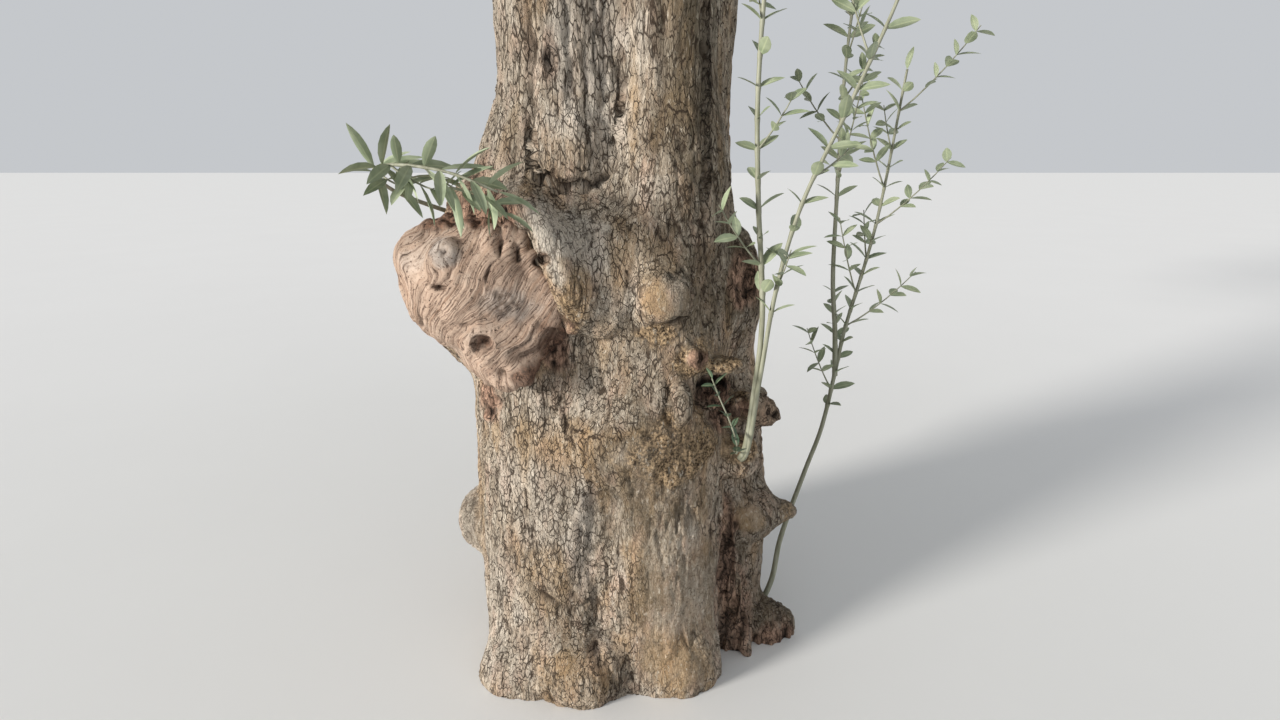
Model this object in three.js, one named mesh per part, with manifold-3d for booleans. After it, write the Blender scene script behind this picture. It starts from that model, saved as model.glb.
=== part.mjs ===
// An old olive tree: a short thick trunk with knots and a bare burl, four boughs, an open crown and shoots.
// Millimetres, +Z up. The origin is on the flat cut under the trunk, at ground level.
// The front of the tree faces -Y, with the burl on its left, towards -X.

import * as THREE from "three";
import { mergeVertices } from "three/addons/utils/BufferGeometryUtils.js";
import Module from "manifold-3d";

const wasm = await Module();
wasm.setup();

// Driving sizes
const GAP = 0.3; // between two pieces that rest on each other
const FORK_HEIGHT = 2150; // the trunk ends here and the boughs start
const SKIRT_REACH = 1880; // from the axis to the middles of the lowest masses
const SKIRT_HEIGHT = 3350;
const SKIRT_SIZE = [940, 940, 700]; // half sizes of the space of one mass
const SHOULDER_REACH = 1070; // the same for the masses above them
const SHOULDER_HEIGHT = 4480;
const SHOULDER_SIZE = [960, 960, 780];
const TOP_HEIGHT = 5250;
const TOP_SIZE = [960, 960, 700];
const SPRAY = [600, 250, 12]; // length, width and thickness of a blade that stands for a spray of leaves
const SHOOT_LEAF = [120, 30, 5]; // the same for a leaf on a young shoot

// How finely the trunk is divided
const TRUNK_SECTORS = 44;
const TRUNK_RINGS = 28;
const RING_SPREAD = 1.14; // above 1 the rings lie closer together near the ground
const FRONT_DENSITY = 0.42; // how much closer together the sectors lie on the front than on the back

// Colours and finishes
const bark = new THREE.MeshStandardMaterial({ color: 0x8f7a63, roughness: 0.95, metalness: 0 });
const bareWood = new THREE.MeshStandardMaterial({ color: 0xa07f66, roughness: 0.85, metalness: 0 });
const youngBark = new THREE.MeshStandardMaterial({ color: 0x8d8a6c, roughness: 0.8, metalness: 0 });
const foliage = new THREE.MeshStandardMaterial({ color: 0x77836a, roughness: 0.7, metalness: 0 });

// Heights of the stations at which each strand of the trunk has its place and radius
const STATIONS = [0, 600, 1330, 1640, FORK_HEIGHT];

// The trunk is a bundle of strands that have grown together. Each station is [x, y, radius].
const STRANDS = {
  left: [[-175, -70, 245], [-168, -60, 240], [-185, -40, 205], [-138, -50, 156], [-195, -55, 145]],
  front: [[88, -118, 205], [82, -108, 205], [98, -82, 175], [104, -80, 128], [95, -115, 120]],
  right: [[328, 10, 112], [308, 5, 108], [222, 22, 80], [222, 30, 62], [250, 60, 85]],
  back: [[0, 150, 290], [-10, 140, 282], [-20, 125, 215], [-15, 138, 150], [-10, 175, 120]],
  heart: [[-20, 20, 250], [-20, 20, 240], [-10, 10, 190], [-10, 10, 140], [0, 0, 125]],
};

// Swellings: knots, root toes and the rim under the waist. Each is [place, half sizes].
const LUMPS = {
  rim: [[-50, -150, 1225], [225, 135, 128]],
  callusTop: [[-205, -215, 1300], [66, 62, 58]],
  callusMiddle: [[-135, -262, 1215], [56, 56, 66]],
  callusFoot: [[-92, -272, 1110], [52, 52, 70]],
  rightShoulder: [[285, -25, 1080], [98, 105, 190]],
  stub: [[-330, -55, 1100], [205, 175, 235]],
  stubTop: [[-322, -70, 1318], [112, 120, 70]],
  smoothKnob: [[108, -262, 1115], [72, 68, 62]],
  swelling: [[5, -225, 735], [150, 110, 150]],
  leftKnob: [[-415, -60, 410], [72, 90, 92]],
  rightKnob: [[372, -70, 430], [82, 84, 84]],
  rightStub: [[462, -60, 428], [56, 30, 27]],
  burr: [[366, -85, 775], [52, 56, 52]],
  burrTip: [[412, -88, 742], [30, 26, 22]],
  shootCollar: [[318, -150, 650], [62, 60, 60]],
  toeFrontLeft: [[-115, -225, 70], [160, 160, 175]],
  toeFrontRight: [[165, -190, 50], [130, 145, 150]],
  toeLeft: [[-296, -225, -60], [122, 115, 215]],
  toeRight: [[440, -50, 10], [108, 70, 95]],
  toeBackLeft: [[-265, 330, 10], [150, 140, 190]],
  toeBackRight: [[210, 370, 10], [170, 130, 170]],
  knobBack: [[-120, 390, 720], [130, 95, 120]],
  knobBackRight: [[240, 240, 1180], [110, 100, 120]],
};

// Hollows: the old knot holes and the long cleft between the front and the right strand
const HOLLOWS = {
  knotHole: [[232, -266, 862], [50, 66, 52]],
  upperHole: [[332, -150, 1128], [36, 66, 62]],
  underBurl: [[-335, -262, 835], [44, 44, 52]],
  cleft: [[298, -190, 225], [24, 92, 300]],
  cleftFoot: [[322, -190, 40], [42, 90, 150]],
  backHollow: [[60, 440, 980], [48, 90, 150]],
};

const STRAND_BLEND = 17; // how far the strands and swellings melt into each other
const HOLLOW_BLEND = 8; // the same for a hollow's lip

// The bare burl on the front left: swellings of wood without bark
const BURL = [
  [[-318, -195, 1122], [200, 152, 172]],
  [[-275, -245, 985], [98, 92, 92]],
  [[-430, -180, 1190], [112, 110, 98]],
  [[-192, -242, 1082], [86, 70, 122]],
];

// Boughs: each starts on the strand that it is named after, and carries one mass of the shoulder.
// The number is that mass's direction from the axis, in degrees from +X towards +Y.
const SHOULDERS = { left: 195, front: 286, right: 8, back: 102 };
const BOUGH_FOOT_SHARE = 0.97; // of the strand's radius at the fork
const BOUGH_TIP_SHARE = 0.42;
const BOUGH_RISE = 560; // straight up before it bends
const BOUGH_SHOULDER_RISE = 1230; // to the height where it bends up again
const BOUGH_SHOULDER_SHARE = 0.62; // of the way from the fork to the mass, where that is

// Side limbs, each leaving its bough at a share of the bough's length, and the direction of its mass
const SKIRT = [
  { bough: "left", share: 0.46, degrees: 165 },
  { bough: "left", share: 0.3, degrees: 219 },
  { bough: "front", share: 0.34, degrees: 271 },
  { bough: "front", share: 0.5, degrees: 322 },
  { bough: "right", share: 0.4, degrees: 17 },
  { bough: "back", share: 0.46, degrees: 66 },
  { bough: "back", share: 0.32, degrees: 114 },
];
const TOP = { bough: "left", share: 0.72, place: [-60, -40] };
const LIMB_SHARE = 0.62; // of the bough's radius where the limb leaves it
const LIMB_TIP_SHARE = 0.5;
const LIMB_ARCH = 0.22; // of the limb's length
const MASS_ENTRY = 0.85; // a limb ends at this share of the way from a mass's middle to its surface

// How the masses grow
const GOLDEN_ANGLE = Math.PI * (3 - Math.sqrt(5));
const BRANCHES = 7;
const BRANCH_SHARE = 0.6; // of the way from the stem to the surface, where the spray at the tip takes over
const BRANCH_RADII = [14, 8];
const SHORTEST_REACH = 260;
const SPRAY_PAIRS_AT = [0.4, 0.82]; // shares of a branch
const SPRAY_TURN = 2.6; // the range in which a spray's flat is turned about its length, in radians
const SPRAY_SHRINKS = [1, 0.88, 0.76, 0.64, 0.52]; // tried in turn until a spray fits in
const SPACE_MARGIN = 0.035; // from the border between two masses, as a share of a mass's size
const WOOD_CLEARANCE = 28;
const TRUNK_CLEARANCE = 20;

// A number from 0 to 1 that depends only on the two given ones
function draw(seed, index) {
  const value = Math.sin(seed * 12.9898 + index * 78.233) * 43758.5453;
  return value - Math.floor(value);
}

const vector = (place) => new THREE.Vector3(...place);

// The values at height z of a smooth line through a strand's stations
function strandAt(rows, z) {
  const last = STATIONS.length - 1;
  let i = 0;
  while (i < last - 1 && z > STATIONS[i + 1]) i += 1;
  const slope = (a, b, k) => (rows[b][k] - rows[a][k]) / (STATIONS[b] - STATIONS[a]);
  const span = STATIONS[i + 1] - STATIONS[i];
  const u = (z - STATIONS[i]) / span;
  return rows[i].map((value, k) => {
    const startSlope = slope(Math.max(i - 1, 0), i + 1, k) * span;
    const endSlope = slope(i, Math.min(i + 2, last), k) * span;
    return (
      (2 * u ** 3 - 3 * u ** 2 + 1) * value +
      (u ** 3 - 2 * u ** 2 + u) * startSlope +
      (3 * u ** 2 - 2 * u ** 3) * rows[i + 1][k] +
      (u ** 3 - u ** 2) * endSlope
    );
  });
}

// About how far a point lies outside an ellipsoid
function outsideEllipsoid([place, size], x, y, z) {
  const dx = (x - place[0]) / size[0];
  const dy = (y - place[1]) / size[1];
  const dz = (z - place[2]) / size[2];
  const near = Math.hypot(dx, dy, dz);
  return (near * (near - 1)) / Math.max(Math.hypot(dx / size[0], dy / size[1], dz / size[2]), 1e-9);
}

// About how far a point lies outside the trunk
function outsideTrunk(x, y, z) {
  let sum = 0;
  for (const rows of Object.values(STRANDS)) {
    const [cx, cy, r] = strandAt(rows, z);
    sum += Math.exp(-(Math.hypot(x - cx, y - cy) - r) / STRAND_BLEND);
  }
  for (const lump of Object.values(LUMPS)) {
    sum += Math.exp(-outsideEllipsoid(lump, x, y, z) / STRAND_BLEND);
  }
  let field = -STRAND_BLEND * Math.log(Math.max(sum, 1e-300));
  for (const hollow of Object.values(HOLLOWS)) {
    const inside = -outsideEllipsoid(hollow, x, y, z);
    const lip = Math.max(HOLLOW_BLEND - Math.abs(field - inside), 0) / HOLLOW_BLEND;
    field = Math.max(field, inside) + (lip * lip * HOLLOW_BLEND) / 4;
  }
  return field;
}

const WALK_START = 900; // well outside the trunk
const WALK_SHARE = 0.75; // of the distance that the field gives, so that no step enters the trunk
const WALK_END = 0.2; // this near the surface is on it
const MOST_STEPS = 90;

// The distance from the axis to the trunk's surface, found by walking in from outside
function trunkRadius(angle, z) {
  const [c, s] = [Math.cos(angle), Math.sin(angle)];
  let r = WALK_START;
  let field = outsideTrunk(r * c, r * s, z);
  for (let step = 0; step < MOST_STEPS && field > WALK_END; step += 1) {
    r -= WALK_SHARE * field;
    field = outsideTrunk(r * c, r * s, z);
  }
  return r;
}

// A closed skin over rings of points, each ring counter-clockwise seen from its far end
function skinOver(rings, startCentre, endCentre) {
  const sides = rings[0].length;
  const points = [...rings.flat(), startCentre, endCentre];
  const [start, end] = [points.length - 2, points.length - 1];
  const index = [];
  for (let j = 0; j < rings.length - 1; j += 1) {
    for (let i = 0; i < sides; i += 1) {
      const a = j * sides + i;
      const b = j * sides + ((i + 1) % sides);
      index.push(a, b, b + sides, a, b + sides, a + sides);
    }
  }
  const lastRing = (rings.length - 1) * sides;
  for (let i = 0; i < sides; i += 1) {
    const next = (i + 1) % sides;
    index.push(start, next, i, end, lastRing + i, lastRing + next);
  }
  return new THREE.BufferGeometry().setFromPoints(points).setIndex(index);
}

// The trunk's skin, pushed out by extra
function trunkSkin(extra) {
  const rings = [];
  for (let j = 0; j <= TRUNK_RINGS; j += 1) {
    const z = FORK_HEIGHT * (j / TRUNK_RINGS) ** RING_SPREAD;
    const ring = [];
    for (let i = 0; i < TRUNK_SECTORS; i += 1) {
      const evenAngle = (2 * Math.PI * i) / TRUNK_SECTORS;
      const angle = evenAngle - FRONT_DENSITY * Math.sin(evenAngle + Math.PI / 2);
      const r = trunkRadius(angle, z) + extra;
      ring.push(new THREE.Vector3(r * Math.cos(angle), r * Math.sin(angle), z));
    }
    rings.push(ring);
  }
  return skinOver(rings, new THREE.Vector3(0, 0, 0), new THREE.Vector3(0, 0, FORK_HEIGHT));
}

// A tapering limb or twig along a curve, with flat ends square to it
function limbSkin(curve, startRadius, endRadius, sides, steps, extra = 0) {
  const frames = curve.computeFrenetFrames(steps);
  const rings = [];
  for (let j = 0; j <= steps; j += 1) {
    const centre = curve.getPointAt(j / steps);
    const r = THREE.MathUtils.lerp(startRadius, endRadius, j / steps) + extra;
    const ring = [];
    for (let i = 0; i < sides; i += 1) {
      const angle = (2 * Math.PI * i) / sides;
      ring.push(
        centre.clone()
          .addScaledVector(frames.normals[j], r * Math.cos(angle))
          .addScaledVector(frames.binormals[j], r * Math.sin(angle)),
      );
    }
    rings.push(ring);
  }
  return skinOver(rings, curve.getPointAt(0), curve.getPointAt(1));
}

// A leaf or spray: a flat lozenge of eight faces from its root along a direction
function bladeSkin(root, direction, flatNormal, [length, width, thickness]) {
  const across = new THREE.Vector3().crossVectors(flatNormal, direction).normalize();
  const normal = new THREE.Vector3().crossVectors(direction, across);
  const frame = new THREE.Matrix4()
    .makeBasis(direction, across, normal)
    .setPosition(root.clone().addScaledVector(direction, length / 2));
  return new THREE.OctahedronGeometry(1).scale(length / 2, width / 2, thickness / 2).applyMatrix4(frame);
}

// Points of a blade that have to stay inside its space
function bladePoints(root, direction, flatNormal, [length, width]) {
  const across = new THREE.Vector3().crossVectors(flatNormal, direction).normalize();
  const along = (share) => root.clone().addScaledVector(direction, length * share);
  return [
    along(0.25),
    along(0.5).addScaledVector(across, width / 2),
    along(0.5).addScaledVector(across, -width / 2),
    along(0.5),
    along(0.75),
    along(1),
  ];
}

// A geometry as a solid
function solidOf(geometry) {
  const plain = geometry.clone();
  plain.deleteAttribute("normal");
  plain.deleteAttribute("uv");
  const merged = mergeVertices(plain, 1e-4);
  return new wasm.Manifold(
    new wasm.Mesh({
      numProp: 3,
      vertProperties: merged.attributes.position.array,
      triVerts: new Uint32Array(merged.index.array),
    }),
  );
}

// The largest body of a solid
function largestOf(solid) {
  return solid.decompose().reduce((a, b) => (b.volume() > a.volume() ? b : a));
}

const tree = new THREE.Group();

// Adds a geometry or a solid to the tree as one named piece
function addPiece(name, shape, material) {
  let geometry = shape;
  if (!shape.isBufferGeometry) {
    const { vertProperties, triVerts } = shape.getMesh();
    geometry = new THREE.BufferGeometry()
      .setAttribute("position", new THREE.BufferAttribute(new Float32Array(vertProperties), 3))
      .setIndex(new THREE.BufferAttribute(triVerts, 1));
  }
  geometry.computeVertexNormals();
  const mesh = new THREE.Mesh(geometry, material);
  mesh.name = name;
  tree.add(mesh);
}

// Trunk and burl
const TRUNK_GAP = GAP * 2; // the skin is pushed out level, so this is at least the gap on slopes too
const widerTrunk = solidOf(trunkSkin(TRUNK_GAP));
addPiece("trunk", trunkSkin(0), bark);

function burlSolid() {
  const swellings = BURL.map(([place, size]) =>
    solidOf(new THREE.SphereGeometry(1, 12, 8).scale(...size).translate(...place)),
  );
  return largestOf(wasm.Manifold.union(swellings).subtract(widerTrunk));
}
const burl = burlSolid();
addPiece("burl", burl, bareWood);

// A point at a distance from the axis, in a direction in degrees
function around(reach, degrees, z) {
  const angle = THREE.MathUtils.degToRad(degrees);
  return new THREE.Vector3(reach * Math.cos(angle), reach * Math.sin(angle), z);
}

// The masses of foliage, each with the space that it fills: an ellipsoid with a centre and half sizes
function layOutMasses() {
  const skirt = SKIRT.map(({ bough, share, degrees }, i) => ({
    name: `foliage_skirt_${i + 1}`,
    limb: { name: `limb_skirt_${i + 1}`, bough, share },
    centre: around(
      SKIRT_REACH * (0.95 + 0.1 * draw(3, i)),
      degrees,
      SKIRT_HEIGHT + 330 * (draw(5, i) - 0.5),
    ),
    size: SKIRT_SIZE.map((s) => s * (0.94 + 0.12 * draw(7, i))),
  }));
  const shoulders = Object.entries(SHOULDERS).map(([bough, degrees], i) => ({
    name: `foliage_shoulder_${bough}`,
    bough,
    centre: around(SHOULDER_REACH, degrees, SHOULDER_HEIGHT + 300 * (draw(11, i) - 0.5)),
    size: SHOULDER_SIZE.map((s) => s * (0.95 + 0.1 * draw(13, i))),
  }));
  const top = {
    name: "foliage_top",
    limb: { name: "limb_top", bough: TOP.bough, share: TOP.share },
    centre: vector([...TOP.place, TOP_HEIGHT]),
    size: TOP_SIZE,
  };
  return [...skirt, ...shoulders, top].map((mass, i) => ({ ...mass, seed: 20 + i }));
}
const masses = layOutMasses();

// How deep a point lies in a mass's space: 0 at its middle, 1 on its surface
function depthIn(mass, point) {
  return new THREE.Vector3().subVectors(point, mass.centre).divide(vector(mass.size)).length();
}

// The point where a limb that comes from another point ends in a mass
function entryOf(mass, from) {
  const towards = new THREE.Vector3().subVectors(from, mass.centre);
  return mass.centre.clone().addScaledVector(towards, MASS_ENTRY / depthIn(mass, from));
}

const limbs = {}; // each with its curve and radii, so that others sit on it and keep clear of it

// Adds a limb, cut to its seat where it leaves a carrier, and lets the mass at its tip know where it ends
function addLimb(name, mass, curve, startRadius, endRadius, sides, steps, carrier) {
  let shape = limbSkin(curve, startRadius, endRadius, sides, steps);
  if (carrier) shape = largestOf(solidOf(shape).subtract(carrier));
  addPiece(name, shape, bark);
  const seat = solidOf(limbSkin(curve, startRadius, endRadius, sides, steps, GAP * 1.4));
  limbs[name] = { curve, startRadius, endRadius, seat };
  mass.entry = curve.getPoint(1);
  mass.entryDirection = curve.getTangentAt(1);
  mass.entryRadius = endRadius;
}

function addBough(bough) {
  const [x, y, r] = STRANDS[bough].at(-1);
  const mass = masses.find((m) => m.bough === bough);
  const foot = new THREE.Vector3(x, y, FORK_HEIGHT + GAP);
  const bend = new THREE.Vector3(x, y, FORK_HEIGHT + BOUGH_RISE);
  const shoulder = foot.clone().lerp(mass.centre, BOUGH_SHOULDER_SHARE);
  shoulder.z = FORK_HEIGHT + BOUGH_SHOULDER_RISE;
  const curve = new THREE.CubicBezierCurve3(foot, bend, shoulder, entryOf(mass, shoulder));
  addLimb(`bough_${bough}`, mass, curve, r * BOUGH_FOOT_SHARE, r * BOUGH_TIP_SHARE, 10, 7, null);
}
Object.keys(SHOULDERS).forEach(addBough);

function addSideLimb(mass) {
  const { name, bough, share } = mass.limb;
  const carrier = limbs[`bough_${bough}`];
  const start = carrier.curve.getPointAt(share);
  const radius = LIMB_SHARE * THREE.MathUtils.lerp(carrier.startRadius, carrier.endRadius, share);
  const tip = entryOf(mass, start);
  const bend = start.clone().lerp(tip, 0.45);
  bend.z += start.distanceTo(tip) * LIMB_ARCH;
  const curve = new THREE.QuadraticBezierCurve3(start, bend, tip);
  addLimb(name, mass, curve, radius, radius * LIMB_TIP_SHARE, 6, 5, carrier.seat);
}
masses.filter((mass) => mass.limb).forEach(addSideLimb);

// Points along every limb with its radius there, to keep foliage clear of the wood
const WOOD_STEPS = 40;
const woodPoints = Object.values(limbs).flatMap(({ curve, startRadius, endRadius }) =>
  Array.from({ length: WOOD_STEPS + 1 }, (_, i) => ({
    point: curve.getPointAt(i / WOOD_STEPS),
    radius: THREE.MathUtils.lerp(startRadius, endRadius, i / WOOD_STEPS),
  })),
);

function clearOfWood(point) {
  return woodPoints.every((wood) => point.distanceTo(wood.point) > wood.radius + WOOD_CLEARANCE);
}

function inSpaceOf(mass, point) {
  const own = depthIn(mass, point);
  if (own > 1) return false;
  return masses.every((other) => other === mass || depthIn(other, point) > own + SPACE_MARGIN);
}

// A direction that leaves an axis at a pitch, turned round it by an azimuth
function leaning(axis, azimuth, pitch) {
  const helper = Math.abs(axis.z) < 0.9 ? new THREE.Vector3(0, 0, 1) : new THREE.Vector3(1, 0, 0);
  const side = new THREE.Vector3().crossVectors(axis, helper).normalize();
  const other = new THREE.Vector3().crossVectors(axis, side);
  return axis.clone()
    .multiplyScalar(Math.cos(pitch))
    .addScaledVector(side, Math.sin(pitch) * Math.cos(azimuth))
    .addScaledVector(other, Math.sin(pitch) * Math.sin(azimuth))
    .normalize();
}

// The way a blade's flat faces: up, as far as its direction lets it, then turned about its own length
function bladeNormal(direction, turn) {
  const level = new THREE.Vector3(0, 0, 1).addScaledVector(direction, -direction.z).normalize();
  return level.applyAxisAngle(direction, turn);
}

// The stem of a mass: from its limb's tip, on past the middle of its space
function stemCurve(mass) {
  const foot = mass.entry.clone().addScaledVector(mass.entryDirection, GAP);
  const through = mass.centre.clone().sub(mass.entry);
  const end = mass.centre.clone().addScaledVector(through, 0.28);
  end.z += mass.size[2] * 0.12;
  const bend = foot.clone().addScaledVector(mass.entryDirection, through.length() * 0.5);
  return new THREE.QuadraticBezierCurve3(foot, bend, end);
}

// How far it is from a point in a direction to where a mass's space ends
function reachIn(mass, start, direction) {
  const step = 20;
  const nearStem = 200; // here the stem itself may lie outside the mass's own share of the crown
  const isInside = (r) => {
    const point = start.clone().addScaledVector(direction, r);
    return inSpaceOf(mass, point) || (r < nearStem && depthIn(mass, point) < 1);
  };
  let reach = 0;
  while (isInside(reach + step)) reach += step;
  return reach;
}

// One branch of a mass: it leaves the stem by the golden angle and arches towards the surface of the space
function growBranch(mass, stem, i) {
  const isLast = i === BRANCHES - 1;
  const share = 0.1 + (0.9 * (i + 0.6)) / BRANCHES;
  const start = stem.getPointAt(isLast ? 0.97 : share);
  const pitch = THREE.MathUtils.degToRad(isLast ? 12 : 88 - 40 * share);
  const direction = leaning(stem.getTangentAt(share), i * GOLDEN_ANGLE + mass.seed, pitch);
  const reach = reachIn(mass, start, direction);
  if (reach < SHORTEST_REACH) return null;
  const along = (r) => start.clone().addScaledVector(direction, r);
  const bend = along(reach * BRANCH_SHARE * 0.5);
  bend.z += reach * 0.08;
  const curve = new THREE.QuadraticBezierCurve3(start, bend, along(reach * BRANCH_SHARE));
  return [0.3, 0.6, 1].every((t) => clearOfWood(curve.getPointAt(t))) ? { curve, reach } : null;
}

// Adds the sprays of a branch to those of its mass: one at the tip that goes on to the surface, and pairs.
// Each is as large as it can be inside the space and clear of the wood and of the sprays before it.
function addSprays(sprays, mass, { curve, reach }, i) {
  const addSpray = (k, root, direction, size) => {
    const normal = bladeNormal(direction, SPRAY_TURN * (draw(mass.seed + 2, i * 13 + k) - 0.5));
    for (const share of SPRAY_SHRINKS) {
      const shrunk = [size[0] * share, size[1] * share, size[2]];
      const points = bladePoints(root, direction, normal, shrunk);
      if (!points.every((p) => inSpaceOf(mass, p) && clearOfWood(p))) continue;
      const spray = solidOf(bladeSkin(root, direction, normal, shrunk));
      if (sprays.some((other) => !other.intersect(spray).isEmpty())) continue;
      sprays.push(spray);
      return;
    }
  };
  const tip = curve.getPointAt(1);
  const outwards = tip.clone().sub(curve.getPointAt(0)).normalize();
  const sunk = 24;
  const length = reach * (0.98 - BRANCH_SHARE) + sunk;
  addSpray(0, tip.addScaledVector(outwards, -sunk), outwards, [length, SPRAY[1] * 0.9, SPRAY[2]]);
  SPRAY_PAIRS_AT.forEach((t, pair) => {
    for (const side of [0, 1]) {
      const k = 1 + 2 * pair + side;
      const azimuth = Math.PI * side + 0.9 * pair + 0.6 * draw(mass.seed, i * 31 + k);
      const direction = leaning(curve.getTangentAt(t), azimuth, 0.7 + 0.35 * draw(mass.seed + 1, i * 17 + k));
      const root = curve.getPointAt(t).addScaledVector(direction, -7);
      const scale = 0.82 + 0.3 * draw(mass.seed + 3, i * 7 + k);
      addSpray(k, root, direction, SPRAY.map((s) => s * scale));
    }
  });
}

// One mass of foliage: a stem, branches and sprays, fused
function massSolid(mass) {
  const stem = stemCurve(mass);
  const wood = [solidOf(limbSkin(stem, mass.entryRadius * 0.92, BRANCH_RADII[0], 4, 3))];
  const sprays = [];
  for (let i = 0; i < BRANCHES; i += 1) {
    const branch = growBranch(mass, stem, i);
    if (!branch) continue;
    wood.push(solidOf(limbSkin(branch.curve, ...BRANCH_RADII, 3, 2)));
    addSprays(sprays, mass, branch, i);
  }
  return largestOf(wasm.Manifold.union([...wood, ...sprays]));
}
for (const mass of masses) addPiece(mass.name, massSolid(mass), foliage);

// Young shoots. Each has one stem, or two from one foot, given by the points that the stem passes,
// with the stem's radius at its foot, the share of it that is bare, and the pairs of leaves on each stem.
const SHOOTS = {
  shoot_twin: {
    stems: [
      [
        [300, -120, 640], [318, -222, 690], [335, -238, 860], [343, -250, 1060],
        [318, -250, 1340], [306, -245, 1560], [318, -240, 1900], [365, -215, 2300],
      ],
      [
        [300, -120, 632], [324, -222, 684], [345, -250, 900], [369, -262, 1130],
        [414, -262, 1325], [500, -262, 1530], [600, -255, 1790], [680, -235, 2120],
      ],
    ],
    radius: 13,
    bare: 0.35,
    pairs: 3,
  },
  shoot_root: {
    stems: [
      [
        [440, 0, 40], [478, 20, 130], [498, 30, 270], [562, 40, 510], [600, 40, 650],
        [628, 40, 850], [640, 40, 950], [700, 45, 1250], [740, 50, 1650],
      ],
      [
        [626, 40, 820], [612, 35, 960], [592, 30, 1100],
        [582, 30, 1320], [574, 30, 1640], [590, 35, 1980],
      ],
    ],
    radius: 13,
    bare: 0.4,
    pairs: 3,
  },
  shoot_hollow: {
    stems: [
      [
        [292, -150, 690], [296, -262, 712], [290, -290, 752],
        [270, -300, 812], [240, -304, 880], [220, -312, 930],
      ],
    ],
    radius: 6,
    bare: 0.4,
    pairs: 2,
  },
  shoot_burl: {
    stems: [
      [
        [-420, -60, 1290], [-520, -190, 1350], [-500, -360, 1400],
        [-400, -470, 1410], [-300, -500, 1395], [-215, -505, 1362],
      ],
    ],
    radius: 8,
    bare: 0.42,
    pairs: 4,
  },
};
const SECOND_STEM_SHARE = 0.85; // of the first stem's radius
const SHOOT_TIP_SHARE = 0.35;

const shootSeat = wasm.Manifold.union([widerTrunk, burl]);

function clearOfTrunk({ x, y, z }) {
  const clearOfBurl = BURL.every((swelling) => outsideEllipsoid(swelling, x, y, z) > TRUNK_CLEARANCE);
  return clearOfBurl && outsideTrunk(x, y, z) > TRUNK_CLEARANCE;
}

function leavesOf(curve, { radius, bare, pairs }, seed) {
  const leaves = [];
  for (let k = 0; k < pairs * 2; k += 1) {
    const pair = Math.floor(k / 2);
    const t = Math.min(bare + ((1 - bare) * (pair + 0.6)) / pairs, 0.985);
    const azimuth = (k % 2) * Math.PI + pair * (Math.PI / 2) + draw(seed, k);
    const direction = leaning(curve.getTangentAt(t), azimuth, 0.85);
    const root = curve.getPointAt(t).addScaledVector(direction, -radius * 0.3);
    const normal = bladeNormal(direction, draw(seed + 1, k) - 0.5);
    if (bladePoints(root, direction, normal, SHOOT_LEAF).every(clearOfTrunk)) {
      leaves.push(solidOf(bladeSkin(root, direction, normal, SHOOT_LEAF)));
    }
  }
  return leaves;
}

// One shoot: its stems and leaves, fused, and cut to its seat on the trunk
function shootSolid(shoot, seed) {
  const parts = shoot.stems.flatMap((points, s) => {
    const curve = new THREE.CatmullRomCurve3(points.map(vector), false, "centripetal");
    const radius = s === 0 ? shoot.radius : shoot.radius * SECOND_STEM_SHARE;
    const stem = limbSkin(curve, radius, shoot.radius * SHOOT_TIP_SHARE, 4, points.length + 1);
    return [solidOf(stem), ...leavesOf(curve, shoot, seed)];
  });
  return largestOf(wasm.Manifold.union(parts).subtract(shootSeat));
}
Object.entries(SHOOTS).forEach(([name, shoot], i) => addPiece(name, shootSolid(shoot, 60 + i), youngBark));

export default tree;
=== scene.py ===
"""An old olive tree, dressed: barked trunk, bare burl, boughs, an open crown of small leaves, young shoots.

Sizes are in millimetres, as in the part's source, and become metres where a mesh is made.
The front of the tree faces -Y, with the burl on its left, towards -X.
"""

import itertools
import math

import bpy
import numpy as np
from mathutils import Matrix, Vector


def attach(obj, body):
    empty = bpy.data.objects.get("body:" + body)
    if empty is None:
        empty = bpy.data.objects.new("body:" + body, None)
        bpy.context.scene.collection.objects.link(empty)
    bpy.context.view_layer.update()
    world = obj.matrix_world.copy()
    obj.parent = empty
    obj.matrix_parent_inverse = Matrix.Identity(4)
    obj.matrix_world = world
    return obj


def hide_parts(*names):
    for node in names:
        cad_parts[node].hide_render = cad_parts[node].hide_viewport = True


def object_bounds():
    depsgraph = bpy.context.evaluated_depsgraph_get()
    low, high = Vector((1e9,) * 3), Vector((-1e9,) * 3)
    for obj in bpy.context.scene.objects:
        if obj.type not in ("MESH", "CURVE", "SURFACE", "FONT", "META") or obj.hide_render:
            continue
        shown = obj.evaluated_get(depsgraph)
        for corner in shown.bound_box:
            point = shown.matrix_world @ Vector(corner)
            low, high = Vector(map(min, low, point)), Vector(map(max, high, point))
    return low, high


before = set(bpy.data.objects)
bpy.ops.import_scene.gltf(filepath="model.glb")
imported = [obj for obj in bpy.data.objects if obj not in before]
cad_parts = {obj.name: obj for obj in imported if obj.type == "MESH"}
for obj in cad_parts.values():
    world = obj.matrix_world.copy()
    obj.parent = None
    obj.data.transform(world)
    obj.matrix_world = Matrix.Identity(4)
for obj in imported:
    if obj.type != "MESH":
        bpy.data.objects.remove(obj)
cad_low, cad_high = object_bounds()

MM = 0.001
CAD_LOW = np.array(cad_low) / MM
CAD_HIGH = np.array(cad_high) / MM

# The camera of the photograph
CAMERA_PLACE = (0.05, -1.70, 1.40)
CAMERA_PITCH = 17  # degrees below level
FOCAL_PIXELS = 620
IMAGE_WIDTH = 1280
SENSOR_WIDTH = 36

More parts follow.
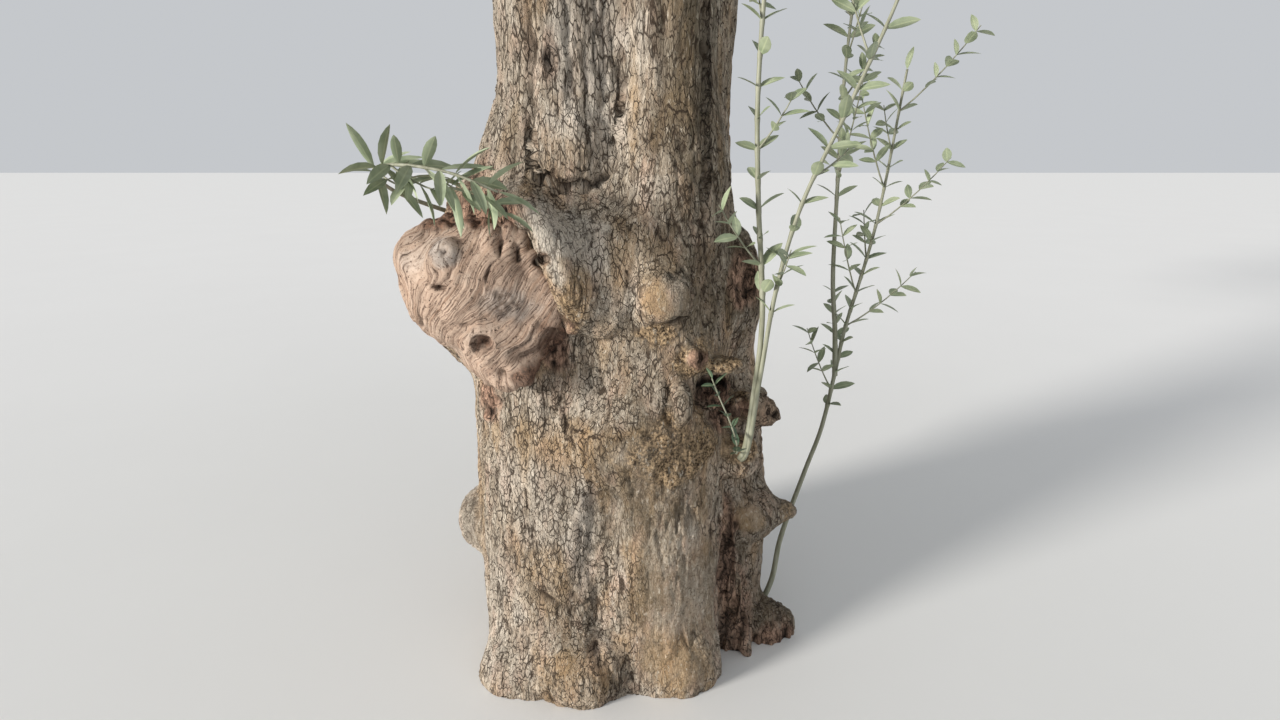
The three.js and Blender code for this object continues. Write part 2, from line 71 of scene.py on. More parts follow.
# The trunk's skin, as in the part's source
FORK_HEIGHT = 2150
STATIONS = [0, 600, 1330, 1640, FORK_HEIGHT]
STRANDS = {
    "left": [[-175, -70, 245], [-168, -60, 240], [-185, -40, 205], [-138, -50, 156], [-195, -55, 145]],
    "front": [[88, -118, 205], [82, -108, 205], [98, -82, 175], [104, -80, 128], [95, -115, 120]],
    "right": [[328, 10, 112], [308, 5, 108], [222, 22, 80], [222, 30, 62], [250, 60, 85]],
    "back": [[0, 150, 290], [-10, 140, 282], [-20, 125, 215], [-15, 138, 150], [-10, 175, 120]],
    "heart": [[-20, 20, 250], [-20, 20, 240], [-10, 10, 190], [-10, 10, 140], [0, 0, 125]],
}
LUMPS = [
    [[-50, -150, 1225], [225, 135, 128]],
    [[-205, -215, 1300], [66, 62, 58]],
    [[-135, -262, 1215], [56, 56, 66]],
    [[-92, -272, 1110], [52, 52, 70]],
    [[285, -25, 1080], [98, 105, 190]],
    [[-330, -55, 1100], [205, 175, 235]],
    [[-322, -70, 1318], [112, 120, 70]],
    [[108, -262, 1115], [72, 68, 62]],
    [[5, -225, 735], [150, 110, 150]],
    [[-415, -60, 410], [72, 90, 92]],
    [[372, -70, 430], [82, 84, 84]],
    [[462, -60, 428], [56, 30, 27]],
    [[366, -85, 775], [52, 56, 52]],
    [[412, -88, 742], [30, 26, 22]],
    [[318, -150, 650], [62, 60, 60]],
    [[-115, -225, 70], [160, 160, 175]],
    [[165, -190, 50], [130, 145, 150]],
    [[-296, -225, -60], [122, 115, 215]],
    [[440, -50, 10], [108, 70, 95]],
    [[-265, 330, 10], [150, 140, 190]],
    [[210, 370, 10], [170, 130, 170]],
    [[-120, 390, 720], [130, 95, 120]],
    [[240, 240, 1180], [110, 100, 120]],
]
HOLLOWS = [
    [[232, -266, 862], [50, 66, 52]],
    [[332, -150, 1128], [36, 66, 62]],
    [[-335, -262, 835], [44, 44, 52]],
    [[298, -190, 225], [24, 92, 300]],
    [[322, -190, 40], [42, 90, 150]],
    [[60, 440, 980], [48, 90, 150]],
]
STRAND_BLEND = 17
HOLLOW_BLEND = 8
LEAST = 1e-300  # keeps the logarithm of a sum finite

# Smaller forms that the skin gets here: the ring knot, old wounds, and the lips round the hollows
FINE_LUMPS = [
    [[183, -268, 968], [30, 26, 30]],
    [[256, -240, 940], [66, 34, 24]],
    [[150, -290, 856], [26, 38, 50]],
    [[330, -150, 800], [40, 40, 40]],
    [[-102, -190, 1450], [68, 44, 84]],
    [[-42, -262, 1128], [84, 44, 112]],
    [[324, -176, 690], [40, 40, 15]],
]
CALLUS = [
    [-226, -250, 1336],
    [-192, -288, 1318],
    [-164, -308, 1284],
    [-142, -316, 1244],
    [-124, -316, 1200],
    [-108, -308, 1156],
]
CALLUS_RADIUS = 27
CALLUS_BLEND = 20
FINE_HOLLOWS = [
    [[190, -300, 974], [12, 16, 12]],
    [[-134, -310, 1010], [26, 34, 52]],
    [[246, -262, 890], [64, 66, 30]],
    [[214, -276, 846], [36, 44, 30]],
    [[284, -215, 830], [50, 70, 50]],
    [[252, -240, 800], [44, 34, 24]],
    [[304, -190, 774], [44, 52, 34]],
    [[199, -176, 1640], [10, 44, 420]],
    [[202, -205, 1430], [8, 36, 130]],
    [[-196, -232, 1450], [8, 22, 100]],
    [[6, -186, 1590], [6, 14, 240]],
    [[420, -122, 760], [12, 20, 11]],
    [[400, -134, 772], [8, 16, 8]],
    [[342, -140, 756], [10, 26, 10]],
    [[430, -92, 723], [9, 50, 14]],
    [[401, -92, 716], [9, 50, 16]],
    [[374, -92, 716], [9, 60, 14]],
    [[412, -90, 800], [12, 50, 14]],
    [[118, -306, 856], [5, 22, 44]],
    [[-163, -338, 1211], [20, 36, 13]],
    [[-168, -248, 1384], [20, 26, 12]],
    [[-98, -236, 1366], [44, 30, 11]],
    [[346, -172, 80], [38, 74, 270]],
    [[284, -190, 590], [9, 34, 26]],
    [[-148, -214, 1636], [14, 22, 30]],
]

# Slabs of old wood that stand in the cleft, and those beside the knot hole
SLABS = [
    [[312, -128, 150], [10, 40, 200]],
    [[329, -136, 270], [9, 34, 90]],
    [[343, -142, 180], [11, 42, 90]],
    [[358, -144, 96], [13, 44, 90]],
    [[372, -138, 34], [15, 40, 70]],
    [[325, -112, 370], [8, 30, 100]],
    [[268, -212, 864], [9, 30, 36]],
    [[236, -222, 836], [14, 26, 22]],
    [[296, -186, 812], [10, 26, 30]],
]
SLAB_BLEND = 4

# The bare burl, as in the part's source, then its own knots and holes
BURL = [
    [[-318, -195, 1122], [200, 152, 172]],
    [[-275, -245, 985], [98, 92, 92]],
    [[-430, -180, 1190], [112, 110, 98]],
    [[-192, -242, 1082], [86, 70, 122]],
]
BURL_KNOTS = [
    [[-379, -306, 1227], [28, 26, 27]],
    [[-308, -312, 1016], [54, 30, 52]],
    [[-262, -318, 942], [36, 20, 38]],
    [[-220, -318, 950], [30, 18, 30]],
    [[-160, -290, 1120], [34, 28, 60]],
    [[-243, -282, 1240], [17, 26, 40]],
    [[-217, -276, 1230], [15, 26, 38]],
    [[-282, -292, 1240], [20, 24, 38]],
    [[-186, -290, 1196], [20, 26, 30]],
]
BURL_HOLES = [
    [[-311, -342, 1018], [26, 30, 24]],
    [[-264, -342, 950], [16, 20, 16]],
    [[-379, -336, 1228], [12, 20, 11]],
    [[-164, -322, 1204], [26, 36, 15]],
    [[-224, -304, 1222], [9, 16, 20]],
    [[-262, -306, 1236], [8, 14, 20]],
    [[-152, -300, 1010], [34, 30, 40]],
    [[-400, -330, 1150], [18, 18, 6]],
    [[-350, -345, 1065], [14, 16, 7]],
]
# Painted shade in each of the burl's holes
HOLE_SHADES = [0.3, 0.45, 1.0, 1.0, 0.95, 0.9, 0.6, 0.9, 0.8]
RINGED = 4
# Decayed wood on the burl; at its top, under the ledge, it is partly painted shade
BURL_ROTS_AND_SHADE = [
    [[-309, -330, 1016], [28, 40, 25], 0.85],
    [[-146, -300, 1006], [46, 60, 62], 1.0],
    [[-196, -310, 948], [66, 60, 26], 0.9],
    [[-300, -250, 905], [60, 60, 24], 0.8],
    [[-160, -300, 1206], [40, 50, 22], 0.8],
    [[-330, -200, 1290], [190, 130, 26], 0.9],
]
BURL_PALES = [
    [[-385, -300, 1228], [44, 60, 40], 0.9],
    [[-240, -330, 1115], [80, 60, 44], 0.7],
    [[-430, -200, 1210], [110, 120, 60], 0.4],
]
BURL_PITTED = [[[-255, -330, 1122], [62, 60, 34], 1.0]]

# Boughs and masses, as in the part's source
SHOULDERS = {"left": 195, "front": 286, "right": 8, "back": 102}
BOUGH_FOOT_SHARE = 0.97
BOUGH_TIP_SHARE = 0.42
BOUGH_RISE = 560
BOUGH_SHOULDER_RISE = 1230
BOUGH_SHOULDER_SHARE = 0.62
SKIRT_REACH = 1880
SKIRT_HEIGHT = 3350
SKIRT_SIZE = np.array([940, 940, 700])
SHOULDER_REACH = 1070
SHOULDER_HEIGHT = 4480
SHOULDER_SIZE = np.array([960, 960, 780])
TOP_SIZE = np.array([960, 960, 700])
SKIRT = [
    ("left", 0.46, 165),
    ("left", 0.3, 219),
    ("front", 0.34, 271),
    ("front", 0.5, 322),
    ("right", 0.4, 17),
    ("back", 0.46, 66),
    ("back", 0.32, 114),
]
TOP = ("left", 0.72, (-60, -40, 5250))
FOOT_GAP = 0.3
SKIRT_SCATTER = 330
SHOULDER_SCATTER = 300
LIMB_SHARE = 0.62
LIMB_TIP_SHARE = 0.5
LIMB_BEND_SHARE = 0.45
LIMB_ARCH = 0.22
MASS_ENTRY = 0.85
FIRST_SEED = 20
GOLDEN_ANGLE = math.pi * (3 - math.sqrt(5))
SPACE_MARGIN = 0.035
MARGIN_SHARE = 0.3

# How the skins are found and divided
ROUGH_SECTORS = 220
ROUGH_RINGS = 240
DOME_RINGS = 8
DOME_HEIGHT = 120
WALK_SHARE = 0.75
TRUNK_START = 900  # a radius outside the whole trunk
TRUNK_WALK = 50
TRUNK_STEP = 5.5
SLOPE_STEP = 0.5
GROUND_BAND = 3
FORK_BAND = 2
SKIN_BAND = 25
LONGEST_MOVE = 14
TRUNK_PARTS = {"lower": 0, "middle": 600, "upper": 1350}  # the height at which each part begins
BOUGH_SIDES = 44
BOUGH_STEP = 15
BOUGH_BELOW = 130
LIMB_SIDES = 24
LIMB_STEP = 20
LIMB_SHIFT = 50  # radii by which each limb's bark is moved, so that no two are alike
COLLAR_SWELL = 0.12
COLLAR_REACH = 90
LUMP_SHARE = 0.09
COARSE_RADIUS = 110

# The crown, finer than the solids
MAIN_BRANCHES = 7
BRANCHES = 22
BRANCH_END = 0.8
BRANCH_RADII = (13, 3.5)
BRANCH_POINTS = 7
BRANCH_SIDES = 5
STEM_POINTS = 9
STEM_START_SHARE = 0.92
STEM_BEND_SHARE = 0.5
STEM_OVERSHOOT = 0.28
STEM_RISE = 0.12
LAST_PITCH = 12  # degrees, as the next three
FIRST_PITCH = 88
PITCH_FALL = 40
PITCH_SCATTER = 34
REACH_STEP = 20
SHORTEST_REACH = 200
LONGEST_REACH = 2400
FILL = 0.93
REACH_MARGIN = 12
TWIG_SPACING = 92
TWIGS_FROM = 0.22
FEWEST_TWIGS = 3
MASS_SEEDS = 1000  # how far apart the seeds of two masses, of two branches and of a twig and its twiglet lie
BRANCH_SEEDS = 40
TWIGLET_SEEDS = 400
TWIG_LENGTH = 400
TWIG_RADII = (3.2, 1.2)
TWIG_POINTS = 5
TWIG_SIDES = 3
TWIG_TRIES = (1, 0.8, 0.62, 0.46)
TWIGLETS_AT = (0.28, 0.55)
TWIGLET_RADII = (2.0, 1.0)
TWIGLET_POINTS = 4
LEAF_SPACING = 37
LEAF_LENGTH = 76
LEAF_WIDTH = 19
LEAF_KINDS = {"green": 0.36, "olive": 0.3, "grey": 0.24, "silver": 0.1}  # each kind's share


def unit(v):
    return v / np.maximum(np.linalg.norm(v, axis=-1, keepdims=True), 1e-12)


def smooth(low, high, x):
    t = np.clip((x - low) / (high - low), 0, 1)
    return t * t * (3 - 2 * t)


def draw(seed, index):
    """A number from 0 to 1 that depends only on the two given ones, as in the part's source."""
    value = np.sin(seed * 12.9898 + index * 78.233) * 43758.5453
    return value - np.floor(value)


# Noise


def scattered(i, j, k, seed):
    """A number from 0 to 1 for each whole-number place."""
    n = i * 73856093 + j * 19349663 + k * 83492791 + seed * 26544357
    n = (n ^ (n >> 13)) * 1274126177
    n = (n ^ (n >> 16)) * 668265263
    return ((n ^ (n >> 15)) & 0xFFFFFF) / 0xFFFFFF


def noise(p, size, seed):
    """Smooth noise from -1 to 1 at points p, with features of about the given size."""
    q = p / np.asarray(size, float)
    base = np.floor(q).astype(np.int64)
    f = q - base
    f = f * f * (3 - 2 * f)
    total = 0
    for corner in itertools.product((0, 1), repeat=3):
        weight = 1
        for axis in range(3):
            weight = weight * (f[..., axis] if corner[axis] else 1 - f[..., axis])
        place = [base[..., axis] + corner[axis] for axis in range(3)]
        total = total + weight * scattered(*place, seed)
    return 2 * total - 1


def drift(p, size, seed):
    """A smooth shift from -1 to 1 in each direction."""
    return np.stack([noise(p, size, seed + axis) for axis in range(3)], axis=-1)


def cell_walls(p, size, seed):
    """0 on the walls between scattered cells, growing towards their middles."""
    q = p / np.asarray(size, float)
    base = np.floor(q).astype(np.int64)
    nearest = np.full(q.shape[:-1], 9.0)
    second = nearest.copy()
    for offset in itertools.product((-1, 0, 1), repeat=3):
        cell = [base[..., axis] + offset[axis] for axis in range(3)]
        spot = np.stack([cell[a] + scattered(*cell, seed + a) for a in range(3)], axis=-1)
        d = np.linalg.norm(q - spot, axis=-1)
        second = np.minimum(second, np.maximum(nearest, d))
        nearest = np.minimum(nearest, d)
    return second - nearest


# The trunk's field


def outside_ellipsoid(form, x, y, z):
    place, size = form
    dx, dy, dz = (x - place[0]) / size[0], (y - place[1]) / size[1], (z - place[2]) / size[2]
    near = np.sqrt(dx * dx + dy * dy + dz * dz)
    slope = np.sqrt((dx / size[0]) ** 2 + (dy / size[1]) ** 2 + (dz / size[2]) ** 2)
    return near * (near - 1) / np.maximum(slope, 1e-9)


def hermite(u, start, end, leaving, arriving):
    """A smooth run between two values, with given slopes at its ends."""
    return (
        (2 * u**3 - 3 * u**2 + 1) * start
        + (u**3 - 2 * u**2 + u) * leaving
        + (3 * u**2 - 2 * u**3) * end
        + (u**3 - u**2) * arriving
    )


def strand_at(rows, z):
    """Place and radius of a strand at heights z, on a smooth line through its stations."""
    rows = np.array(rows, float)
    stations = np.array(STATIONS, float)
    last = len(stations) - 1
    before = np.maximum(np.arange(last + 1) - 1, 0)
    after = np.minimum(np.arange(last + 1) + 1, last)
    slopes = (rows[after] - rows[before]) / (stations[after] - stations[before])[:, None]
    i = np.clip(np.searchsorted(stations, z) - 1, 0, last - 1)
    span = (stations[i + 1] - stations[i])[..., None]
    u = ((z - stations[i]) / span[..., 0])[..., None]
    return np.moveaxis(hermite(u, rows[i], rows[i + 1], slopes[i] * span, slopes[i + 1] * span), -1, 0)


def outside_ridge(line, radius, x, y, z):
    """How far points lie outside a round ridge along a line."""
    nearest = np.inf
    for a, b in itertools.pairwise(np.array(line, float)):
        run = b - a
        along = (x - a[0]) * run[0] + (y - a[1]) * run[1] + (z - a[2]) * run[2]
        t = np.clip(along / run.dot(run), 0, 1)
        dx, dy, dz = x - a[0] - t * run[0], y - a[1] - t * run[1], z - a[2] - t * run[2]
        nearest = np.minimum(nearest, np.sqrt(dx**2 + dy**2 + dz**2))
    return nearest - radius


def pooled(fields, width):
    """Fields joined all at once, rounded where they meet."""
    total = sum(np.exp(-field / width) for field in fields)
    return -width * np.log(np.maximum(total, LEAST))


def with_forms(field, forms, width, x, y, z):
    """A field that ellipsoids are joined to, one after the other."""
    for form in forms:
        field = blended(field, outside_ellipsoid(form, x, y, z), width)
    return field


def with_hollows(field, hollows, x, y, z):
    """A field that hollows are cut out of, each with a rounded lip."""
    for hollow in hollows:
        inside = -outside_ellipsoid(hollow, x, y, z)
        lip = np.maximum(HOLLOW_BLEND - np.abs(field - inside), 0) / HOLLOW_BLEND
        field = np.maximum(field, inside) + lip * lip * HOLLOW_BLEND / 4
    return field


def blended(a, b, width):
    """Two fields joined, rounded where they meet."""
    return -width * np.log(np.exp(-a / width) + np.exp(-b / width))


def outside_swellings(x, y, z):
    """About how far a point lies outside the trunk before its hollows are cut."""
    strands = [strand_at(rows, np.minimum(z, FORK_HEIGHT)) for rows in STRANDS.values()]
    fields = [np.hypot(x - cx, y - cy) - r for cx, cy, r in strands]
    fields += [outside_ellipsoid(lump, x, y, z) for lump in LUMPS]
    field = with_forms(pooled(fields, STRAND_BLEND), FINE_LUMPS, HOLLOW_BLEND, x, y, z)
    return blended(field, outside_ridge(CALLUS, CALLUS_RADIUS, x, y, z), CALLUS_BLEND)


def outside_trunk(x, y, z):
    """About how far a point lies outside the trunk. x and y have a row for each height in z."""
    field = with_hollows(outside_swellings(x, y, z), HOLLOWS + FINE_HOLLOWS, x, y, z)
    return with_forms(field, SLABS, SLAB_BLEND, x, y, z)


def walk_in(field_at, radius, steps):
    """Moves each radius by most of what the field gives there, until it lies on the skin."""
    for _ in range(steps):
        radius = radius - WALK_SHARE * field_at(radius)
    return radius


def rough_trunk():
    """A closed skin near the trunk's surface, as points and faces."""
    a = (2 * np.pi * np.arange(ROUGH_SECTORS) / ROUGH_SECTORS)[None, :]
    z = np.linspace(0, FORK_HEIGHT, ROUGH_RINGS + 1)[:, None]
    c, s = np.cos(a), np.sin(a)
    start = np.full((ROUGH_RINGS + 1, ROUGH_SECTORS), float(TRUNK_START))
    r = walk_in(lambda r: outside_trunk(r * c, r * s, z), start, TRUNK_WALK)
    rise = np.arange(1, DOME_RINGS + 1) / (DOME_RINGS + 1)
    r = np.concatenate([r, r[-1] * np.sqrt(1 - rise**2)[:, None]])
    z = np.concatenate([z, (FORK_HEIGHT + DOME_HEIGHT * rise)[:, None]])
    grid = np.stack([r * c, r * s, np.broadcast_to(z, r.shape)], axis=-1)
    rows, columns = r.shape
    points = np.concatenate([grid.reshape(-1, 3), [[0, 0, 0]], [[0, 0, FORK_HEIGHT + DOME_HEIGHT]]])
    faces = [
        grid_faces(rows, columns),
        cap_faces(np.arange(columns)[::-1], rows * columns),
        cap_faces(np.arange(columns) + (rows - 1) * columns, rows * columns + 1),
    ]
    return points, faces


def settled(p):
    """Points near the trunk's surface moved onto it, and the directions in which it faces."""
    steps = SLOPE_STEP * np.eye(3)
    for _ in range(2):
        field = outside_trunk(*p.T)
        slope = np.stack([outside_trunk(*(p + step).T) - field for step in steps], axis=-1) / SLOPE_STEP
        slope = np.where(p[:, 2:3] < GROUND_BAND, slope * [1, 1, 0], slope)
        facing = unit(slope)
        on_side = ((np.abs(field) < SKIN_BAND) & (p[:, 2] < FORK_HEIGHT - FORK_BAND))[:, None]
        p = p - np.where(on_side, facing * np.clip(field, -LONGEST_MOVE, LONGEST_MOVE)[:, None], 0)
    above = unit(np.stack([p[:, 0], p[:, 1], 3.0 * (p[:, 2] - FORK_HEIGHT + 20)], axis=-1))
    ends = np.where((p[:, 2] > FORK_HEIGHT / 2)[:, None], above, [0, 0, -1.0])
    return p, np.where(on_side, facing, ends)


def grid_normals(grid):
    """Outward normals of a grid whose columns go round and whose rows go along."""
    around = np.roll(grid, -1, axis=1) - np.roll(grid, 1, axis=1)
    along = np.gradient(grid, axis=0)
    return unit(np.cross(around, along))


# Bark

LOW_SHARE = 0.38
HIGH_SHARE = 0.27
SHARE_CHANGE = (1150, 1450)
LAY_STEP = 10.0
LAY_TOP = 2500
FURROW_DEPTH = 5.5
STEP_DEPTH = 3.6
ROT_RELIEF = 13
CRUMB_RELIEF = 6
# Painted shade in the trunk's recesses: the deeper the skin lies below its swellings, the darker
SUNK_SHADE_SHARE = 0.75
SUNK_SHADE_DEPTHS = (10, 60)
CLEFT_TOP = (420, 330)
CLEFT_SIDE = (200, 240)
FACING_DOWN = -0.9


def lay_of(p):
    """Places in the bark's own space, where heights are drawn together, more so on the upper trunk."""
    heights = np.arange(0, LAY_TOP, LAY_STEP)
    shares = LOW_SHARE + (HIGH_SHARE - LOW_SHARE) * smooth(*SHARE_CHANGE, heights)
    risen = np.concatenate([[0], np.cumsum(shares[:-1] * LAY_STEP)])
    return np.stack([p[..., 0], p[..., 1], np.interp(p[..., 2], heights, risen)], axis=-1)


def bark_at(p, lay, coarseness):
    """Height of the bark at points p, its furrows' darkness, partly painted shade, and numbers that pass 0
    along its cracks.
    """
    bent = lay + 6 * drift(lay, (50, 50, 50), 31) + 3 * drift(lay, (15, 15, 15), 41)
    upright = noise(bent, (20, 20, 46), 61) + 0.3 * noise(bent, (9, 9, 16), 65)
    plates = cell_walls(bent, (19, 19, 17), 3)
    rough = np.clip(0.55 + 0.8 * noise(p, (170, 170, 300), 51), 0, 1)
    kept = smooth(-0.2, 0.3, noise(lay, (34, 34, 34), 53))
    furrows = (1 - smooth(0.04, 0.36, np.abs(upright))) * kept
    steps = (1 - smooth(0.0, 0.32, plates)) * smooth(-0.5, 0.3, noise(lay, (30, 30, 30), 55))
    height = (
        -FURROW_DEPTH * furrows * (0.35 + 0.75 * rough)
        - STEP_DEPTH * steps * (0.4 + 0.7 * rough)
        + 1.8 * noise(lay, 12, 71)
        + 3.2 * noise(lay, 32, 75)
        + 6.5 * noise(p, (110, 110, 280), 77)
    )
    # Darker in the furrows and steps: partly the bark's own dark cracks, partly painted shade
    dark = np.clip(0.3 * furrows * rough + 0.22 * steps * rough, 0, 1)
    return height * coarseness, dark * np.minimum(coarseness * 1.2, 1), upright + 0.7 * (1 - kept)


# Folds on the front of the trunk: a line of [x, z], its depth, the widths on its left and right, the painted
# shade along it
FOLDS = [
    ([[-188, 2000], [-190, 1800], [-191, 1640], [-194, 1508], [-198, 1420], [-180, 1395]], 15, 9, 20, 0.8),
    ([[-206, 1425], [-164, 1388], [-132, 1370], [-99, 1368], [-65, 1374], [-36, 1392]], 26, 7, 15, 1.0),
    ([[122, 905], [117, 860], [124, 808]], 15, 8, 11, 1.0),
    ([[-36, 1392], [-14, 1408], [-10, 1440], [3, 1465], [7, 1515], [4, 1640], [0, 1800]], 8, 9, 7, 0.6),
    ([[-40, 1372], [-17, 1350], [36, 1330], [50, 1314], [95, 1298], [141, 1288], [185, 1292]], 9, 6, 18, 0.5),
    ([[-48, 700], [-68, 594], [-78, 480], [-84, 400], [-66, 300], [-58, 160], [-40, 60]], 10, 30, 24, 0.35),
    ([[-275, 376], [-240, 338], [-203, 308], [-160, 284], [-124, 270], [-79, 292]], 12, 7, 13, 0.9),
    ([[62, 1076], [85, 1058], [115, 1054], [146, 1068]], 8, 6, 12, 0.8),
    ([[193, 2000], [192, 1800], [196, 1640], [202, 1470], [198, 1340], [206, 1270]], 10, 10, 6, 1.0),
    ([[98, 2000], [92, 1800], [104, 1640], [96, 1500], [88, 1380]], 5, 12, 12, 0.3),
    ([[-118, 2000], [-112, 1800], [-104, 1620], [-112, 1480], [-118, 1400]], 5, 10, 10, 0.25),
]
FOLD_WAVER = 9

# Where the skin is smooth: along the callus's lip, in [x, z]
SMOOTH_LIP = [[-200, 1330], [-176, 1296], [-157, 1257], [-142, 1212], [-128, 1170]]
LIP_WIDTH = 17

# Where the bark has a shade or a surface of its own, or painted shade or light: [place, half sizes, strength]
# Stains, and painted shade: the shaded right of the upper trunk and the toe's underside are darkened here
STAINS_AND_SHADE = [
    [[80, -330, 640], [150, 150, 190], 0.75],
    [[60, -330, 330], [70, 120, 110], 0.6],
    [[150, -220, 1620], [84, 160, 380], 0.9],
    [[240, -200, 1650], [60, 160, 400], 0.6],
    [[120, -330, 1210], [110, 140, 70], 0.6],
    [[210, -280, 1080], [90, 140, 110], 0.7],
    [[330, -150, 1120], [110, 130, 190], 0.85],
    [[190, -280, 1190], [70, 120, 60], 0.5],
    [[400, -80, 330], [110, 160, 300], 0.5],
    [[-230, -60, 1380], [110, 220, 50], 0.5],
    [[-36, -330, 560], [34, 100, 150], 0.5],
    [[240, -220, 400], [44, 120, 160], 0.4],
    [[-250, -100, 560], [60, 260, 50], 0.35],
    [[470, -60, 60], [110, 110, 90], 0.9],
    [[-240, -160, 1430], [46, 120, 76], 0.6],
    [[124, -330, 1112], [60, 80, 50], 0.4],
    [[150, -330, 240], [120, 140, 260], 0.25],
    [[150, -300, 900], [160, 120, 120], 0.35],
    [[30, -330, 980], [100, 110, 110], 0.4],
]
# Paler bark, and painted light: the callus, the shoulder under the ledge, the upper column and the ridge on
# the swelling are paled to look lit
PALE_AND_LIT_PATCHES = [
    [[400, -120, 780], [70, 80, 54], 0.4],
    [[-290, -60, 1650], [90, 260, 330], 0.3],
    [[-110, -320, 1270], [130, 90, 90], 1.0],
    [[-430, -90, 420], [90, 120, 110], 0.5],
    [[-330, -230, 200], [130, 160, 240], 0.35],
    [[-230, -330, 620], [120, 160, 170], 0.35],
    [[230, -190, 1700], [40, 120, 300], 0.4],
    [[40, -330, 745], [60, 80, 40], 0.9],
    [[-100, -330, 480], [50, 90, 190], 0.6],
    [[-60, -230, 1640], [110, 120, 300], 0.9],
]
WARMS = [
    [[86, -330, 1116], [42, 80, 60], 1.0],
    [[-60, -300, 1450], [100, 120, 90], 0.9],
    [[-92, -330, 1150], [34, 90, 70], 0.9],
    [[-190, -330, 760], [140, 140, 100], 0.7],
    [[-200, -330, 360], [90, 140, 110], 0.6],
    [[0, -360, 770], [80, 80, 50], 0.8],
    [[10, -360, 640], [26, 80, 130], 0.7],
    [[-120, -400, 110], [140, 120, 120], 0.6],
    [[362, -150, 462], [64, 70, 60], 1.0],
    [[322, -190, 690], [60, 60, 36], 1.0],
    [[405, -120, 780], [66, 70, 54], 0.9],
    [[165, -360, 160], [130, 120, 130], 0.6],
    [[30, -230, 1570], [17, 90, 170], 1.0],
]
SLEEKS = [
    [[106, -330, 1118], [62, 80, 58], 0.8],
    [[364, -150, 458], [56, 64, 52], 1.0],
    [[330, -190, 690], [46, 60, 26], 0.5],
    [[14, -350, 735], [50, 60, 26], 0.7],
]
WORN = [
    [[160, -330, 330], [130, 140, 340], 1.0],
    [[60, -330, 560], [120, 140, 140], 0.7],
    [[-400, -90, 420], [110, 160, 120], 0.6],
    [[-110, -320, 1280], [110, 90, 70], 0.2],
]
CRUMBLY = [
    [[212, -280, 966], [96, 100, 56], 1.0],
    [[322, -160, 800], [50, 100, 100], 1.0],
    [[160, -290, 732], [170, 120, 96], 0.95],
    [[470, -60, 432], [40, 50, 40], 0.9],
    [[322, -190, 688], [64, 60, 30], 1.0],
    [[106, -330, 1030], [90, 80, 34], 0.9],
    [[-165, -330, 950], [90, 80, 50], 0.8],
    [[-110, -330, 1060], [24, 80, 90], 0.8],
]
# Painted shade: near-black spots in the small hollows and holes
PIT_SHADES = [
    [[236, -236, 884], [46, 70, 24], 1.0],
    [[292, -205, 800], [34, 60, 26], 0.7],
    [[272, -190, 850], [36, 60, 30], 0.7],
    [[420, -124, 760], [13, 24, 12], 1.0],
    [[400, -134, 772], [9, 22, 9], 0.8],
    [[342, -130, 756], [10, 26, 10], 1.0],
    [[284, -190, 590], [10, 40, 24], 0.9],
    [[-148, -214, 1636], [10, 26, 20], 0.6],
    [[-160, -326, 1211], [18, 40, 11], 0.9],
]
# Decayed wood; on the toe's underside and under the ledge above the burl it is partly painted shade
ROTS_AND_SHADE = [
    [[298, -150, 300], [40, 110, 250], 0.8],
    [[340, -150, 80], [70, 120, 190], 0.72],
    [[250, -225, 862], [70, 90, 66], 1.0],
    [[290, -180, 794], [76, 90, 60], 0.95],
    [[332, -130, 1128], [60, 80, 80], 0.9],
    [[-335, -235, 840], [62, 70, 70], 1.0],
    [[478, -110, 26], [80, 70, 56], 0.9],
    [[-140, -300, 1008], [50, 60, 76], 1.0],
    [[-290, -190, 1310], [150, 140, 56], 1.0],
    [[190, -290, 972], [28, 34, 26], 0.9],
    [[-162, -330, 1212], [30, 40, 22], 0.9],
    [[-345, -200, 1400], [60, 90, 50], 0.5],
    [[-150, -210, 1640], [22, 50, 60], 0.45],
    [[410, -120, 775], [66, 70, 56], 0.4],
]


def spread(p, places):
    """How strongly any of these places reaches a point, from 0 to 1, with ragged edges."""
    total = np.zeros(p.shape[:-1])
    ragged = 0.35 * noise(p, 60, 81) + 0.2 * noise(p, 22, 83)
    for place, size, strength in places:
        d = np.sqrt((((p - place) / size) ** 2).sum(-1)) + ragged
        total = np.maximum(total, strength * (1 - smooth(0.55, 1.15, d)))
    return total


def beside_line(x, z, line):
    """How far places lie from a line of [x, z], more than 0 on its left."""
    nearest = np.full(x.shape, 1e9)
    for (x0, z0), (x1, z1) in itertools.pairwise(line):
        dx, dz = x1 - x0, z1 - z0
        t = np.clip(((x - x0) * dx + (z - z0) * dz) / (dx * dx + dz * dz), 0, 1)
        away = np.hypot(x - x0 - t * dx, z - z0 - t * dz)
        side = np.where(dx * (z - z0) - dz * (x - x0) > 0, 1, -1)
        nearest = np.where(away < np.abs(nearest), side * away, nearest)
    return nearest


def folds_at(p):
    """Depth of the folds at points p, and the shade painted along them, ragged along their lengths."""
    front = smooth(60, -40, p[:, 1])
    shift = FOLD_WAVER * (drift(p, 32, 101) + 0.5 * drift(p, 13, 105))
    uneven = 0.8 + 0.6 * noise(p, (34, 34, 46), 109)
    depth, dark = 0, 0
    for line, deep, left, right, shade in FOLDS:
        d = beside_line(p[:, 0] + shift[:, 0], p[:, 2] + shift[:, 2], line)
        width = np.where(d > 0, left, right) * uneven
        depth = depth + front * deep * uneven * np.exp(-((d / width) ** 2))
        # The painted shade along each fold
        dark = np.maximum(dark, front * shade * uneven * np.exp(-((d / (0.6 * width)) ** 2)))
    return depth, np.clip(dark, 0, 1)


def lip_at(p):
    """How near points p lie to the callus's smooth lip, from 0 to 1."""
    d = beside_line(p[:, 0], p[:, 2], SMOOTH_LIP)
    return np.exp(-((d / LIP_WIDTH) ** 2)) * smooth(-220, -270, p[:, 1])


